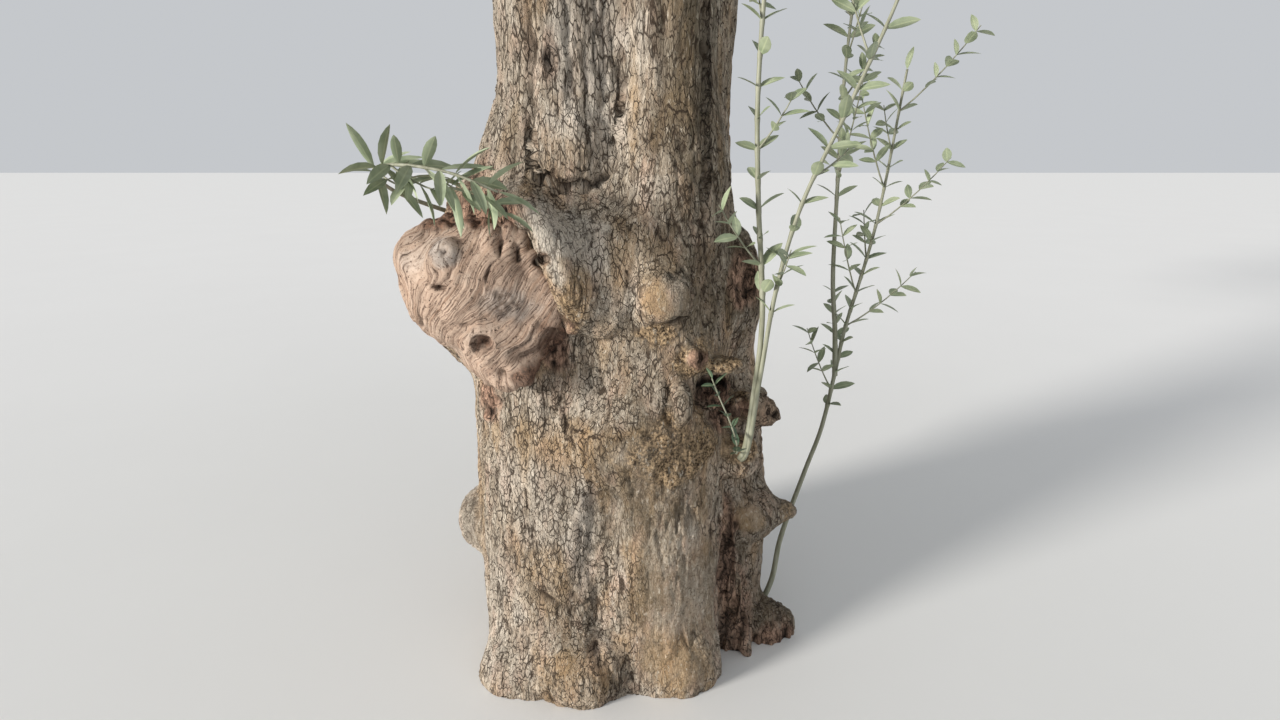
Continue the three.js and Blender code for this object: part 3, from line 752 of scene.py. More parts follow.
def bark_shades(p, lay, dark, upright):
    """The attributes that the bark's material reads."""
    mottle = 0.25 * smooth(0.55, 0.9, 0.5 + 0.5 * noise(p, (150, 150, 260), 91))
    blotch = noise(p, (48, 48, 80), 93)
    streak = noise(p, (40, 40, 150), 95)
    crumbs = 0.95 + 0.8 * noise(p, (34, 34, 46), 97)
    return {
        "crack": dark,
        "coarse": np.ones(dark.shape),
        "stain": np.clip(spread(p, STAINS_AND_SHADE) + mottle + 0.3 * smooth(0.1, 0.7, blotch), 0, 1),
        "pale": np.clip(spread(p, PALE_AND_LIT_PATCHES) + 0.3 * smooth(0.05, 0.5, -blotch), 0, 1),
        "warm": np.clip(spread(p, WARMS) + 0.7 * smooth(0.1, 0.6, streak), 0, 1),
        "rot": spread(p, ROTS_AND_SHADE),
        "worn": spread(p, WORN),
        "crumb": np.clip(spread(p, CRUMBLY) * crumbs, 0, 1),
        "pit": np.zeros(dark.shape),
        "upright": upright,
        "lay": lay * MM,
    }


# Meshes


def new_mesh(name, points, faces):
    """A mesh in metres from points in millimetres and arrays of faces."""
    mesh = bpy.data.meshes.new(name)
    mesh.vertices.add(len(points))
    mesh.vertices.foreach_set("co", (points * MM).astype(np.float32).ravel())
    corners = np.concatenate([f.ravel() for f in faces])
    sizes = np.concatenate([np.full(len(f), f.shape[1]) for f in faces])
    mesh.loops.add(len(corners))
    mesh.loops.foreach_set("vertex_index", corners.astype(np.int32))
    mesh.polygons.add(len(sizes))
    mesh.polygons.foreach_set("loop_start", np.concatenate([[0], np.cumsum(sizes)[:-1]]).astype(np.int32))
    mesh.polygons.foreach_set("use_smooth", np.ones(len(sizes), bool))
    mesh.update(calc_edges=True)
    return mesh


def placed(name, data):
    """A new object in the scene that holds the given data."""
    holder = bpy.data.objects.new(name, data)
    bpy.context.scene.collection.objects.link(holder)
    return holder


def add_piece(name, points, faces, material, slot, nodes, shades=None, normals=None):
    """Makes a piece of the tree, with what its material reads at each point, hangs it on the root body and
    hides the parts it stands for.
    """
    mesh = new_mesh(name, points, faces)
    for key, values in (shades or {}).items():
        kind, field = ("FLOAT_VECTOR", "vector") if np.ndim(values) > 1 else ("FLOAT", "value")
        values_at = mesh.attributes.new(key, kind, "POINT")
        values_at.data.foreach_set(field, np.asarray(values, np.float32).ravel())
    if normals is not None:
        mesh.normals_split_custom_set_from_vertices(normals)
    mesh.materials.append(material)
    piece = placed(name, mesh)
    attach(piece, "root")
    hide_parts(*nodes)


def grid_faces(rows, columns):
    """Quads over a grid whose columns go round."""
    row, column = np.meshgrid(np.arange(rows - 1), np.arange(columns), indexing="ij")
    a = row * columns + column
    b = row * columns + (column + 1) % columns
    return np.stack([a, b, b + columns, a + columns], axis=-1).reshape(-1, 4)


def cap_faces(ring, centre):
    """Triangles from a ring of point numbers to a centre, turned the way the ring goes."""
    return np.stack([ring, np.roll(ring, -1), np.full(len(ring), centre)], axis=-1)


def capped(grid):
    """Points and faces of a tube made of rings, closed at its far end."""
    rows, columns = grid.shape[:2]
    points = np.concatenate([grid.reshape(-1, 3), [grid[-1].mean(axis=0)]])
    last_ring = np.arange(columns) + (rows - 1) * columns
    return points, [grid_faces(rows, columns), cap_faces(last_ring, rows * columns)]


def joined(parts):
    """Many parts' points and faces as those of one."""
    points, faces, offset = [], [], 0
    for part_points, part_faces in parts:
        points.append(part_points)
        faces += [f + offset for f in part_faces]
        offset += len(part_points)
    return np.concatenate(points), faces


# Curves

TANGENT_REACH = 0.006


class Curve:
    """A curve in space, read by shares of its length."""

    def __init__(self, points):
        self.points = points
        steps = np.linalg.norm(np.diff(points, axis=0), axis=1)
        self.length = steps.sum()
        self.shares = np.concatenate([[0], np.cumsum(steps)]) / self.length

    def at(self, share):
        return np.stack([np.interp(share, self.shares, self.points[:, a]) for a in range(3)], axis=-1)

    def tangent(self, share):
        share = np.asarray(share, float)
        ahead, behind = np.minimum(share + TANGENT_REACH, 1), np.maximum(share - TANGENT_REACH, 0)
        return unit(self.at(ahead) - self.at(behind))


def bezier(*controls):
    """A curve that its first and last control points hold, and that the others pull."""
    t = np.linspace(0, 1, 201)[:, None]
    layer = [np.asarray(c, float)[None, :] for c in controls]
    while len(layer) > 1:
        layer = [a * (1 - t) + b * t for a, b in itertools.pairwise(layer)]
    return Curve(layer[0])


def through(points):
    """A smooth curve through points, spaced by the root of their distances."""
    points = np.array(points, float)
    padded = np.concatenate([[2 * points[0] - points[1]], points, [2 * points[-1] - points[-2]]])
    u = np.linspace(0, 1, 30)[:, None]
    parts = []
    for a, b, c, d in zip(padded, padded[1:], padded[2:], padded[3:]):
        d0, d1, d2 = (math.sqrt(np.linalg.norm(q - p)) for p, q in ((a, b), (b, c), (c, d)))
        start = ((b - a) / d0 - (c - a) / (d0 + d1) + (c - b) / d1) * d1
        end = ((c - b) / d1 - (d - b) / (d1 + d2) + (d - c) / d2) * d1
        parts.append(hermite(u, b, c, start, end))
    return Curve(np.concatenate([part[:-1] for part in parts] + [points[-1:]]))


def tube_grid(curve, radii, sides):
    """Rings of points round a curve, one for each given radius, without twist."""
    shares = np.linspace(0, 1, len(radii))
    centres = curve.at(shares)
    tangents = curve.tangent(shares)
    normal = unit(np.cross(tangents[0], [1.0, 0.2, 0.1]))
    rings = []
    turn = 2 * np.pi * np.arange(sides)[:, None] / sides
    for centre, tangent, radius in zip(centres, tangents, radii):
        normal = unit(normal - tangent * normal.dot(tangent))
        other = np.cross(tangent, normal)
        rings.append(centre + radius * (np.cos(turn) * normal + np.sin(turn) * other))
    return np.array(rings)


def thin_tubes(paths, radii, sides):
    """Points and faces of many twigs at once: paths is twigs x points x 3, radii twigs x points."""
    count, steps, _ = paths.shape
    tangents = unit(np.gradient(paths, axis=1))
    steep = np.abs(tangents.mean(axis=1)[:, 2]) > 0.8
    helper = np.where(steep[:, None], [[1.0, 0, 0]], [[0, 0, 1.0]])[:, None, :]
    first = unit(np.cross(tangents, helper))
    second = np.cross(tangents, first)
    turn = 2 * np.pi * np.arange(sides)[None, None, :, None] / sides
    ring = np.cos(turn) * first[:, :, None] + np.sin(turn) * second[:, :, None]
    points = (paths[:, :, None] + radii[:, :, None, None] * ring).reshape(-1, 3)
    start = (np.arange(count) * steps * sides)[:, None, None]
    return points, [(grid_faces(steps, sides) + start).reshape(-1, 4)]


def leaning(axis, azimuth, pitch):
    """Directions that leave their axes at a pitch, turned round them by an azimuth."""
    helper = np.where(np.abs(axis[..., 2:3]) < 0.9, [0.0, 0.0, 1.0], [1.0, 0.0, 0.0])
    side = unit(np.cross(axis, helper))
    other = np.cross(axis, side)
    azimuth, pitch = np.asarray(azimuth)[..., None], np.asarray(pitch)[..., None]
    return unit(axis * np.cos(pitch) + np.sin(pitch) * (side * np.cos(azimuth) + other * np.sin(azimuth)))


# Materials. Where a name holds two colours, the material mixes them

GRAIN_COLOURS = (0.2, 0.15, 0.105), (0.59, 0.505, 0.4)
EARTH_COLOURS = (0.045, 0.028, 0.016), (0.52, 0.37, 0.22)
DECAY_COLOURS = (0.045, 0.02, 0.013), (0.6, 0.38, 0.27)
PALE_PLATE = (0.72, 0.64, 0.53)
DARK_CHIP = (0.15, 0.11, 0.075)
OCHRE_PATCH = (0.46, 0.3, 0.18)
ROSE_TINT = (0.52, 0.37, 0.28)
WARM = (0.45, 0.28, 0.125)
# Paler bark, partly painted light on the callus, the upper column and the swelling's ridge
PALE_AND_LIT = (0.7, 0.64, 0.56)
# Stains, and the painted shade on the trunk's right and on the toe
STAIN_AND_SHADE = (0.11, 0.083, 0.048)
DARK_SPECK = (0.13, 0.09, 0.05)
PALE_FLECK = (0.78, 0.7, 0.58)
DARK_FLECK = (0.085, 0.062, 0.043)
# Dark of the cracks, partly painted shade in them and in the folds
CRACK_AND_SHADE = (0.045, 0.03, 0.02)
# Near black: the painted shade in hollows, holes and crevices
PIT_SHADE = (0.008, 0.005, 0.004)
WOOD_LOW_COLOURS = (0.35, 0.243, 0.18), (0.22, 0.185, 0.157)
WOOD_HIGH_COLOURS = (0.5, 0.372, 0.285), (0.47, 0.415, 0.37)
WOOD_DECAY_COLOURS = (0.035, 0.017, 0.011), (0.26, 0.14, 0.09)
WOOD_PATCH = (0.5, 0.4, 0.32)
WOOD_SPECK = (0.13, 0.08, 0.055)
WOOD_BAND = (0.33, 0.19, 0.115)
# Dark of the burl's grooves, partly painted shade, and of its pores
WOOD_GRAIN_AND_SHADE = (0.11, 0.072, 0.05)
# Dark of the burl's cracks, and the painted shade in its holes and splits
WOOD_CRACK_AND_SHADE = (0.05, 0.027, 0.018)
LEAF_RIB = (0.55, 0.6, 0.36)


def node_material(name, roughness, gloss=0.5):
    """A material, its nodes and its shader."""
    material = bpy.data.materials.new(name)
    material.use_nodes = True
    tree = material.node_tree
    shader = tree.nodes["Principled BSDF"]
    shader.inputs["Roughness"].default_value = roughness
    shader.inputs["Specular IOR Level"].default_value = gloss
    return material, tree, shader


def add_node(tree, kind, inputs, **settings):
    """A new node's outputs. Each of its inputs is a number, a tuple or an output."""
    node = tree.nodes.new("ShaderNode" + kind)
    for key, value in settings.items():
        setattr(node, key, value)
    for key, value in inputs.items():
        if isinstance(value, bpy.types.NodeSocket):
            tree.links.new(value, node.inputs[key])
        else:
            node.inputs[key].default_value = value
    return node.outputs


def mixed(tree, a, b, factor):
    """a and b mixed by a factor. Each is a colour or an output, and the factor a number or an output."""
    a, b = ((*shade, 1) if isinstance(shade, tuple) else shade for shade in (a, b))
    return add_node(tree, "Mix", {0: factor, 6: a, 7: b}, data_type="RGBA")[2]


def layered(tree, colour, layers):
    """A colour with others laid over it, each with its own factor."""
    for shade, factor in layers:
        colour = mixed(tree, colour, shade, factor)
    return colour


def attribute(tree, name, output="Fac"):
    return add_node(tree, "Attribute", {}, attribute_name=name)[output]


def maths(tree, operation, a, b=0.0):
    return add_node(tree, "Math", {0: a, 1: b}, operation=operation)[0]


def plus(tree, a, b):
    return maths(tree, "ADD", a, b)


def times(tree, a, b):
    return maths(tree, "MULTIPLY", a, b)


def higher(tree, a, b):
    return maths(tree, "MAXIMUM", a, b)


def ramp(tree, source, low, high, start=0.0, end=1.0):
    """The source mapped from low..high to start..end."""
    inputs = {"Value": source, "From Min": low, "From Max": high, "To Min": start, "To Max": end}
    return add_node(tree, "MapRange", inputs)["Result"]


def line_where(tree, source, middle, width):
    """1 where the source passes a middle value, 0 elsewhere."""
    away = maths(tree, "ABSOLUTE", maths(tree, "SUBTRACT", source, middle))
    return ramp(tree, away, width * 0.35, width, 1.0, 0.0)


def own_place(tree):
    """The object's own coordinates, in metres."""
    return add_node(tree, "TexCoord", {})["Object"]


def bark_place(tree):
    """The bark's own space, which its meshes carry."""
    return attribute(tree, "lay", "Vector")


def vector_maths(tree, operation, inputs):
    return add_node(tree, "VectorMath", inputs, operation=operation)[0]


def noise_node(tree, place, scale, detail, roughness=0.5):
    inputs = {"Vector": place, "Scale": scale, "Detail": detail, "Roughness": roughness}
    return add_node(tree, "TexNoise", inputs)


def own_noise(tree, scale, stretch=(1, 1, 1), detail=4, roughness=0.6):
    """Noise in the object's own space."""
    place = add_node(tree, "Mapping", {"Vector": own_place(tree), "Scale": stretch})["Vector"]
    return noise_node(tree, place, scale, detail, roughness)["Fac"]


def bark_noise(tree, scale, detail=4, roughness=0.6):
    return noise_node(tree, bark_place(tree), scale, detail, roughness)["Fac"]


def bent_place(tree, scale, reach):
    """The bark's own space bent by noise, for patterns that follow no straight line."""
    place = bark_place(tree)
    swirl = noise_node(tree, place, scale, 3)["Color"]
    centred = vector_maths(tree, "SUBTRACT", {0: swirl, 1: (0.5, 0.5, 0.5)})
    sized = vector_maths(tree, "SCALE", {0: centred, "Scale": reach})
    return vector_maths(tree, "ADD", {0: place, 1: sized})


def flakes(tree, scale, width, gaps):
    """Scattered flakes: 1 in the cracks between them, uneven and with gaps, and a number for each flake."""
    inputs = {"Vector": bent_place(tree, scale * 0.7, 0.7 / scale), "Scale": scale}
    away = add_node(tree, "TexVoronoi", inputs, feature="DISTANCE_TO_EDGE")["Distance"]
    tint = add_node(tree, "TexVoronoi", inputs)["Color"]
    reach = ramp(tree, bark_noise(tree, scale * 0.55, 3), gaps, gaps + 0.25, 0.0, width)
    share = maths(tree, "DIVIDE", away, higher(tree, reach, 0.004))
    number = add_node(tree, "SeparateColor", {"Color": tint})["Red"]
    return ramp(tree, share, 0.2, 1.0, 1.0, 0.0), number


def add_bump(tree, shader, height, distance, strength):
    inputs = {"Height": height, "Distance": distance, "Strength": strength}
    tree.links.new(add_node(tree, "Bump", inputs)["Normal"], shader.inputs["Normal"])


def bark_material():
    material, tree, shader = node_material("bark", 0.92, 0.2)
    grain = bark_noise(tree, 230, 5, 0.8)
    fleck = bark_noise(tree, 95, 4, 0.75)
    patches = bark_noise(tree, 15)
    tints = bark_noise(tree, 24, 3)
    torn = bark_noise(tree, 62, 6, 0.75)
    crumbs = own_noise(tree, 120, detail=4, roughness=0.75)
    cracks, plates = flakes(tree, 92, 0.13, 0.42)
    fine_cracks, chips = flakes(tree, 190, 0.16, 0.45)
    jitter = ramp(tree, bark_noise(tree, 190, 3), 0, 1, -0.26, 0.26)
    furrows = line_where(tree, plus(tree, attribute(tree, "upright"), jitter), 0, 0.11)
    furrows = times(tree, furrows, ramp(tree, bark_noise(tree, 42, 3), 0.42, 0.52))
    cracks = higher(tree, times(tree, cracks, 0.95), times(tree, fine_cracks, 0.75))
    cracks = times(tree, higher(tree, cracks, furrows), attribute(tree, "coarse"))
    # Darkness in the cracks, furrows and folds: partly the bark's own colour, partly painted shade
    dark = higher(tree, attribute(tree, "crack"), cracks)
    specks = ramp(tree, crumbs, 0.46, 0.38, 0, 0.75)
    earth = mixed(tree, *EARTH_COLOURS, ramp(tree, crumbs, 0.42, 0.6))
    decayed = mixed(tree, *DECAY_COLOURS, ramp(tree, torn, 0.36, 0.6))
    layers = [
        (PALE_PLATE, ramp(tree, plates, 0.5, 1.0, 0, 0.45)),
        (DARK_CHIP, ramp(tree, chips, 0.45, 0.0, 0, 0.5)),
        (OCHRE_PATCH, ramp(tree, patches, 0.5, 0.68, 0, 0.5)),
        (ROSE_TINT, ramp(tree, tints, 0.5, 0.66, 0, 0.6)),
        (WARM, times(tree, attribute(tree, "warm"), 0.55)),
        # Paler bark, partly painted light
        (PALE_AND_LIT, times(tree, attribute(tree, "pale"), 0.6)),
        # Stains, partly painted shade
        (STAIN_AND_SHADE, times(tree, attribute(tree, "stain"), 0.72)),
        (DARK_SPECK, times(tree, attribute(tree, "worn"), specks)),
        (earth, attribute(tree, "crumb")),
        (PALE_FLECK, ramp(tree, fleck, 0.58, 0.68, 0, 0.55)),
        (DARK_FLECK, ramp(tree, fleck, 0.42, 0.34, 0, 0.7)),
        # Decayed wood, partly painted shade
        (decayed, attribute(tree, "rot")),
        # Cracks, partly painted shade
        (CRACK_AND_SHADE, times(tree, dark, 0.95)),
        # Painted shade in the hollows, the small holes and the crevices of torn wood
        (PIT_SHADE, attribute(tree, "pit")),
    ]
    base = mixed(tree, *GRAIN_COLOURS, ramp(tree, grain, 0.32, 0.66))
    tree.links.new(layered(tree, base, layers), shader.inputs["Base Color"])
    relief = plus(tree, times(tree, grain, 0.9), times(tree, fleck, 1.2))
    relief = plus(tree, relief, times(tree, plates, 0.35))
    add_bump(tree, shader, maths(tree, "SUBTRACT", relief, cracks), 0.005, 1.0)
    return material


def bare_wood_material():
    material, tree, shader = node_material("bare_wood", 0.85, 0.25)
    slow = vector_maths(tree, "SCALE", {0: own_place(tree), "Scale": 0.08})
    across = add_node(tree, "CombineXYZ", {"X": attribute(tree, "flow")})[0]
    along_fibres = vector_maths(tree, "ADD", {0: slow, 1: across})
    grain = noise_node(tree, along_fibres, 230, 4)["Fac"]
    bands = noise_node(tree, along_fibres, 75, 3)["Fac"]
    rough = own_noise(tree, 130, detail=6, roughness=0.8)
    patches = own_noise(tree, 16)
    torn = own_noise(tree, 88, detail=6, roughness=0.75)
    specks = ramp(tree, own_noise(tree, 105, roughness=0.7), 0.6, 0.66)
    thin = times(tree, line_where(tree, grain, 0.42, 0.02), 0.8)
    grey = attribute(tree, "pale")
    low = mixed(tree, *WOOD_LOW_COLOURS, grey)
    high = mixed(tree, *WOOD_HIGH_COLOURS, grey)
    layers = [
        (WOOD_PATCH, ramp(tree, patches, 0.52, 0.66, 0, 0.5)),
        (WOOD_SPECK, ramp(tree, rough, 0.46, 0.36, 0, 0.7)),
        (WOOD_BAND, ramp(tree, bands, 0.52, 0.68, 0, 0.42)),
        # The dark grooves, partly painted shade in their troughs, and the dark pores
        (WOOD_GRAIN_AND_SHADE, attribute(tree, "grain")),
        # Decayed wood, partly painted shade under the ledge
        (mixed(tree, *WOOD_DECAY_COLOURS, ramp(tree, torn, 0.4, 0.62)), attribute(tree, "rot")),
        # The burl's cracks and grain lines, and the painted shade in its holes and splits
        (WOOD_CRACK_AND_SHADE, higher(tree, attribute(tree, "crack"), higher(tree, thin, specks))),
    ]
    base = mixed(tree, low, high, ramp(tree, grain, 0.36, 0.62))
    tree.links.new(layered(tree, base, layers), shader.inputs["Base Color"])
    add_bump(tree, shader, plus(tree, maths(tree, "SUBTRACT", grain, thin), rough), 0.004, 0.7)
    return material


def stem_material(name, dark, light, roughness, scale, stretch, relief):
    """Young bark, mottled between two shades along the stem."""
    material, tree, shader = node_material(name, roughness)
    spots = own_noise(tree, scale, (1, 1, stretch))
    tree.links.new(mixed(tree, dark, light, ramp(tree, spots, 0.35, 0.65)), shader.inputs["Base Color"])
    add_bump(tree, shader, spots, relief, 0.5)
    return material


def leaf_material(name, dark, light):
    """A leaf: mottled between two shades, with a paler rib where the mesh has one."""
    material, tree, shader = node_material(name, 0.5)
    mottle = own_noise(tree, 24, detail=2)
    colour = mixed(tree, dark, light, ramp(tree, mottle, 0.35, 0.65))
    colour = mixed(tree, colour, LEAF_RIB, ramp(tree, attribute(tree, "rib"), 0.8, 1.0, 0, 0.5))
    tree.links.new(colour, shader.inputs["Base Color"])
    return material


BARK = bark_material()
BARE_WOOD = bare_wood_material()
TWIG_BARK = stem_material("twig_bark", (0.17, 0.145, 0.105), (0.29, 0.265, 0.2), 0.85, 60, 0.4, 0.002)
YOUNG_BARK = stem_material("young_shoots", (0.19, 0.192, 0.128), (0.3, 0.302, 0.228), 0.6, 120, 0.12, 0.0015)
LEAF_MATERIALS = {
    "green": leaf_material("leaf_green", (0.085, 0.125, 0.045), (0.145, 0.19, 0.08)),
    "olive": leaf_material("leaf_olive", (0.15, 0.175, 0.075), (0.225, 0.245, 0.125)),
    "grey": leaf_material("leaf_grey", (0.2, 0.235, 0.16), (0.29, 0.325, 0.235)),
    "silver": leaf_material("leaf_silver", (0.35, 0.385, 0.3), (0.46, 0.49, 0.4)),
    "shoot": leaf_material("leaf_shoot", (0.215, 0.262, 0.16), (0.35, 0.395, 0.265)),
    # The shoots' leaves made much darker for the shoot in the hollow: painted shade
    "hollow": leaf_material("leaf_hollow_shaded", (0.05, 0.085, 0.05), (0.09, 0.13, 0.08)),
}


# Trunk


def even_mesh(points, faces, step):
    """The same closed surface as even quads, as points and faces."""
    mesh = new_mesh("rough", points, faces)
    holder = placed("rough", mesh)
    remesh = holder.modifiers.new("even", "REMESH")
    remesh.mode = "VOXEL"
    remesh.voxel_size = step * MM
    made = holder.evaluated_get(bpy.context.evaluated_depsgraph_get()).to_mesh()
    even_points = np.zeros(len(made.vertices) * 3, np.float32)
    made.vertices.foreach_get("co", even_points)
    quads = np.zeros(len(made.loops), np.int32)
    made.loops.foreach_get("vertex_index", quads)
    bpy.data.objects.remove(holder)
    bpy.data.meshes.remove(mesh)
    return even_points.reshape(-1, 3).astype(float) / MM, quads.reshape(-1, 4)


def facing_of(points, faces):
    """The directions in which a mesh's points face."""
    mesh = new_mesh("facing", points, faces)
    normals = np.zeros(len(points) * 3, np.float32)
    mesh.vertices.foreach_get("normal", normals)
    bpy.data.meshes.remove(mesh)
    return normals.reshape(-1, 3)


def dress_trunk():
    p, quads = even_mesh(*rough_trunk(), TRUNK_STEP)
    p, facing = settled(p)
    rotten = spread(p, ROTS_AND_SHADE)
    crumbly = spread(p, CRUMBLY)
    lip = lip_at(p)
    sleek = np.maximum(spread(p, SLEEKS), 0.35 * lip)
    lay = lay_of(p)
    height, dark, upright = bark_at(p, lay, (1 - 0.8 * sleek) * (1 - 0.5 * np.maximum(rotten, crumbly)))
    depth, shade = folds_at(p)
    height = height - depth
    fibres = noise(p, (13, 13, 110), 111)
    crumbs = noise(p, (16, 16, 18), 113)
    in_cleft = smooth(*CLEFT_TOP, p[:, 2]) * smooth(*CLEFT_SIDE, p[:, 0]) > 0.5
    torn = np.where(in_cleft, fibres, 0.5 * fibres + 0.7 * crumbs)
    height = height + rotten * ROT_RELIEF * torn + crumbly * CRUMB_RELIEF * crumbs
    # Painted shade: darker where the skin is sunk below the swellings
    sunk_shade = SUNK_SHADE_SHARE * smooth(*SUNK_SHADE_DEPTHS, -outside_swellings(*p.T))
    push = facing * np.where(p[:, 2:3] < GROUND_BAND, [1, 1, 0], 1)
    skin = p + push * np.where(facing[:, 2] < FACING_DOWN, 0, height)[:, None]
    skin[:, 2] = np.maximum(skin[:, 2], 0)
    shades = bark_shades(p, lay, dark, upright)
    shades["coarse"] = (1 - 0.75 * sleek) * (1 - 0.8 * shades["worn"]) * (1 - 0.7 * crumbly)
    # Dark of the cracks, thinned where the bark is smooth, with the folds' painted shade over it
    shades["crack"] = np.maximum(shades["crack"] * shades["coarse"], shade)
    # The callus's lip is paler: smoother callus bark, and painted light
    shades["pale"] = np.maximum(shades["pale"], 0.8 * lip)
    # Painted shade in the hollows, in the small holes and in the crevices of the torn wood
    shades["pit"] = np.clip(sunk_shade + spread(p, PIT_SHADES) + rotten * smooth(0.1, -0.7, torn), 0, 1)
    normals = facing_of(skin, [quads])
    part_of = np.searchsorted(list(TRUNK_PARTS.values())[1:], p[quads].mean(axis=1)[:, 2])
    for n, name in enumerate(TRUNK_PARTS):
        used, index = np.unique(quads[part_of == n], return_inverse=True)
        part_shades = {key: values[used] for key, values in shades.items()}
        faces = [index.reshape(-1, 4)]
        add_piece(f"trunk_{name}", skin[used], faces, BARK, "bark", ["trunk"], part_shades, normals[used])


# Burl

BURL_HEART = np.array([-318.0, -195.0, 1110.0])
BURL_RINGS = 150
BURL_SECTORS = 220
BURL_GATHER = 1.25
BURL_REACH = 0.93
BURL_START = 330  # a radius outside the whole burl
BURL_WALK = 40
BURL_BLEND = 16
KNOT_BLEND = 7
BURL_LEAN = np.array([0.8, 0.1, -0.58])
RING_REACH = 1.6
FIBRE_SHARE = 0.06


def outside_burl(p):
    """About how far points lie outside the burl."""
    x, y, z = p[..., 0], p[..., 1], p[..., 2]
    field = pooled([outside_ellipsoid(form, x, y, z) for form in BURL], BURL_BLEND)
    return with_hollows(with_forms(field, BURL_KNOTS, KNOT_BLEND, x, y, z), BURL_HOLES, x, y, z)


def burl_grain(p):
    """A smooth number whose level lines are the fibres: they run aslant and ring the knots."""
    nearly = p + 8 * drift(p, 46, 125) + 2.5 * drift(p, 15, 127)
    bent = nearly + 34 * drift(p, 120, 121) + 14 * drift(p, 62, 123)
    value = bent @ BURL_LEAN
    for place, size in BURL_KNOTS[:RINGED]:
        d = np.sqrt((((nearly - place) / size) ** 2).sum(-1))
        near = np.exp(-((d / RING_REACH) ** 3))
        value = value * (1 - near) + near * (np.dot(place, BURL_LEAN) + d * np.mean(size))
    return value


def burl_skin():
    """The burl's surface as a grid, whose rows lie round its foremost point."""
    polar = (np.arange(1, BURL_RINGS) / BURL_RINGS) ** BURL_GATHER * np.pi * BURL_REACH
    around_front = 2 * np.pi * np.arange(BURL_SECTORS) / BURL_SECTORS
    a, b = np.meshgrid(polar, around_front, indexing="ij")
    direction = np.stack([np.sin(a) * np.cos(b), -np.cos(a), np.sin(a) * np.sin(b)], axis=-1)
    start = np.full(a.shape, float(BURL_START))
    reach = walk_in(lambda r: outside_burl(BURL_HEART + direction * r[..., None]), start, BURL_WALK)
    return BURL_HEART + direction * reach[..., None]


def burl_hole_shade(grid):
    """The shade painted in the burl's holes, from 0 to 1."""
    dark = np.zeros(grid.shape[:-1])
    for (place, size), shade in zip(BURL_HOLES, HOLE_SHADES):
        d = np.sqrt((((grid - place) / size) ** 2).sum(-1))
        dark = np.maximum(dark, shade * (1 - smooth(0.8, 1.25, d)))
    return dark


def dress_burl():
    grid = burl_skin()
    flow = burl_grain(grid)
    along = np.stack([flow, grid[..., 1] * FIBRE_SHARE, grid[..., 2] * FIBRE_SHARE], axis=-1)
    lines = noise(along, 7, 131)
    folds = noise(along, 19, 133)
    splits = smooth(0.93, 1.0, 1 - np.abs(noise(along, (26, 16, 16), 134)))
    patchy = smooth(-0.2, 0.5, noise(grid, 70, 135))
    calm = 0.45 + 0.55 * smooth(-0.3, 0.3, noise(grid, (60, 60, 60), 149))
    pitted = spread(grid, BURL_PITTED)
    rotten = spread(grid, BURL_ROTS_AND_SHADE)
    height = (
        0.7 * lines
        + 0.8 * folds
        + 11 * noise(grid, 85, 137)
        + 6.0 * noise(grid, 34, 138)
        + 1.5 * noise(grid, 12, 139) * (1 + pitted)
        - 6 * splits * patchy
        + ROT_RELIEF * rotten * noise(grid, 16, 145)
    )
    skin = grid - grid_normals(grid) * height[..., None]
    # Grooves darker in the troughs of the folds, painted shade; pores dark where the burl is pitted
    groove_shade = 0.35 * calm * smooth(0.1, -0.6, folds)
    pores = 0.4 * pitted * smooth(0, 0.4, noise(grid, 9, 147))
    shades = {
        # Painted shade in the holes, and dark in the splits, partly painted shade
        "crack": np.clip(0.9 * burl_hole_shade(grid) + 0.8 * splits * patchy, 0, 1),
        "grain": np.clip(groove_shade + pores, 0, 1),
        "rot": rotten,
        "pale": spread(grid, BURL_PALES),
        "flow": flow * MM,
    }
    rows, columns = skin.shape[:2]
    points = np.concatenate([skin.reshape(-1, 3), [skin[0].mean(axis=0)], [skin[-1].mean(axis=0)]])
    faces = [
        grid_faces(rows, columns)[:, ::-1],
        cap_faces(np.arange(columns), rows * columns),
        cap_faces(np.arange(columns)[::-1] + (rows - 1) * columns, rows * columns + 1),
    ]
    ends = {key: np.concatenate([values.ravel(), [values[0].mean(), 0]]) for key, values in shades.items()}
    add_piece("burl_wood", points, faces, BARE_WOOD, "bare_wood", ["burl"], ends)


# Masses, boughs and limbs


def around(reach, degrees, z):
    angle = math.radians(degrees)
    return np.array([reach * math.cos(angle), reach * math.sin(angle), z])


def lay_out_masses():
    """Each mass of foliage: what carries it, its middle, its half sizes and its seed."""
    masses = []
    for i, (bough, share, degrees) in enumerate(SKIRT):
        reach = SKIRT_REACH * (0.95 + 0.1 * draw(3, i))
        height = SKIRT_HEIGHT + SKIRT_SCATTER * (draw(5, i) - 0.5)
        size = SKIRT_SIZE * (0.94 + 0.12 * draw(7, i))
        masses.append({"from": (bough, share), "centre": around(reach, degrees, height), "size": size})
    for i, (bough, degrees) in enumerate(SHOULDERS.items()):
        height = SHOULDER_HEIGHT + SHOULDER_SCATTER * (draw(11, i) - 0.5)
        size = SHOULDER_SIZE * (0.95 + 0.1 * draw(13, i))
        masses.append({"bough": bough, "centre": around(SHOULDER_REACH, degrees, height), "size": size})
    bough, share, place = TOP
    masses.append({"from": (bough, share), "centre": np.array(place, float), "size": TOP_SIZE})
    for i, mass in enumerate(masses):
        mass["seed"] = FIRST_SEED + i
    return masses


MASSES = lay_out_masses()


def depth_in(mass, p):
    """How deep a point lies in a mass's space: 0 at its middle, 1 on its surface."""
    return np.linalg.norm((p - mass["centre"]) / mass["size"], axis=-1)


def entry_of(mass, start):
    towards = start - mass["centre"]
    return mass["centre"] + towards * MASS_ENTRY / depth_in(mass, start)


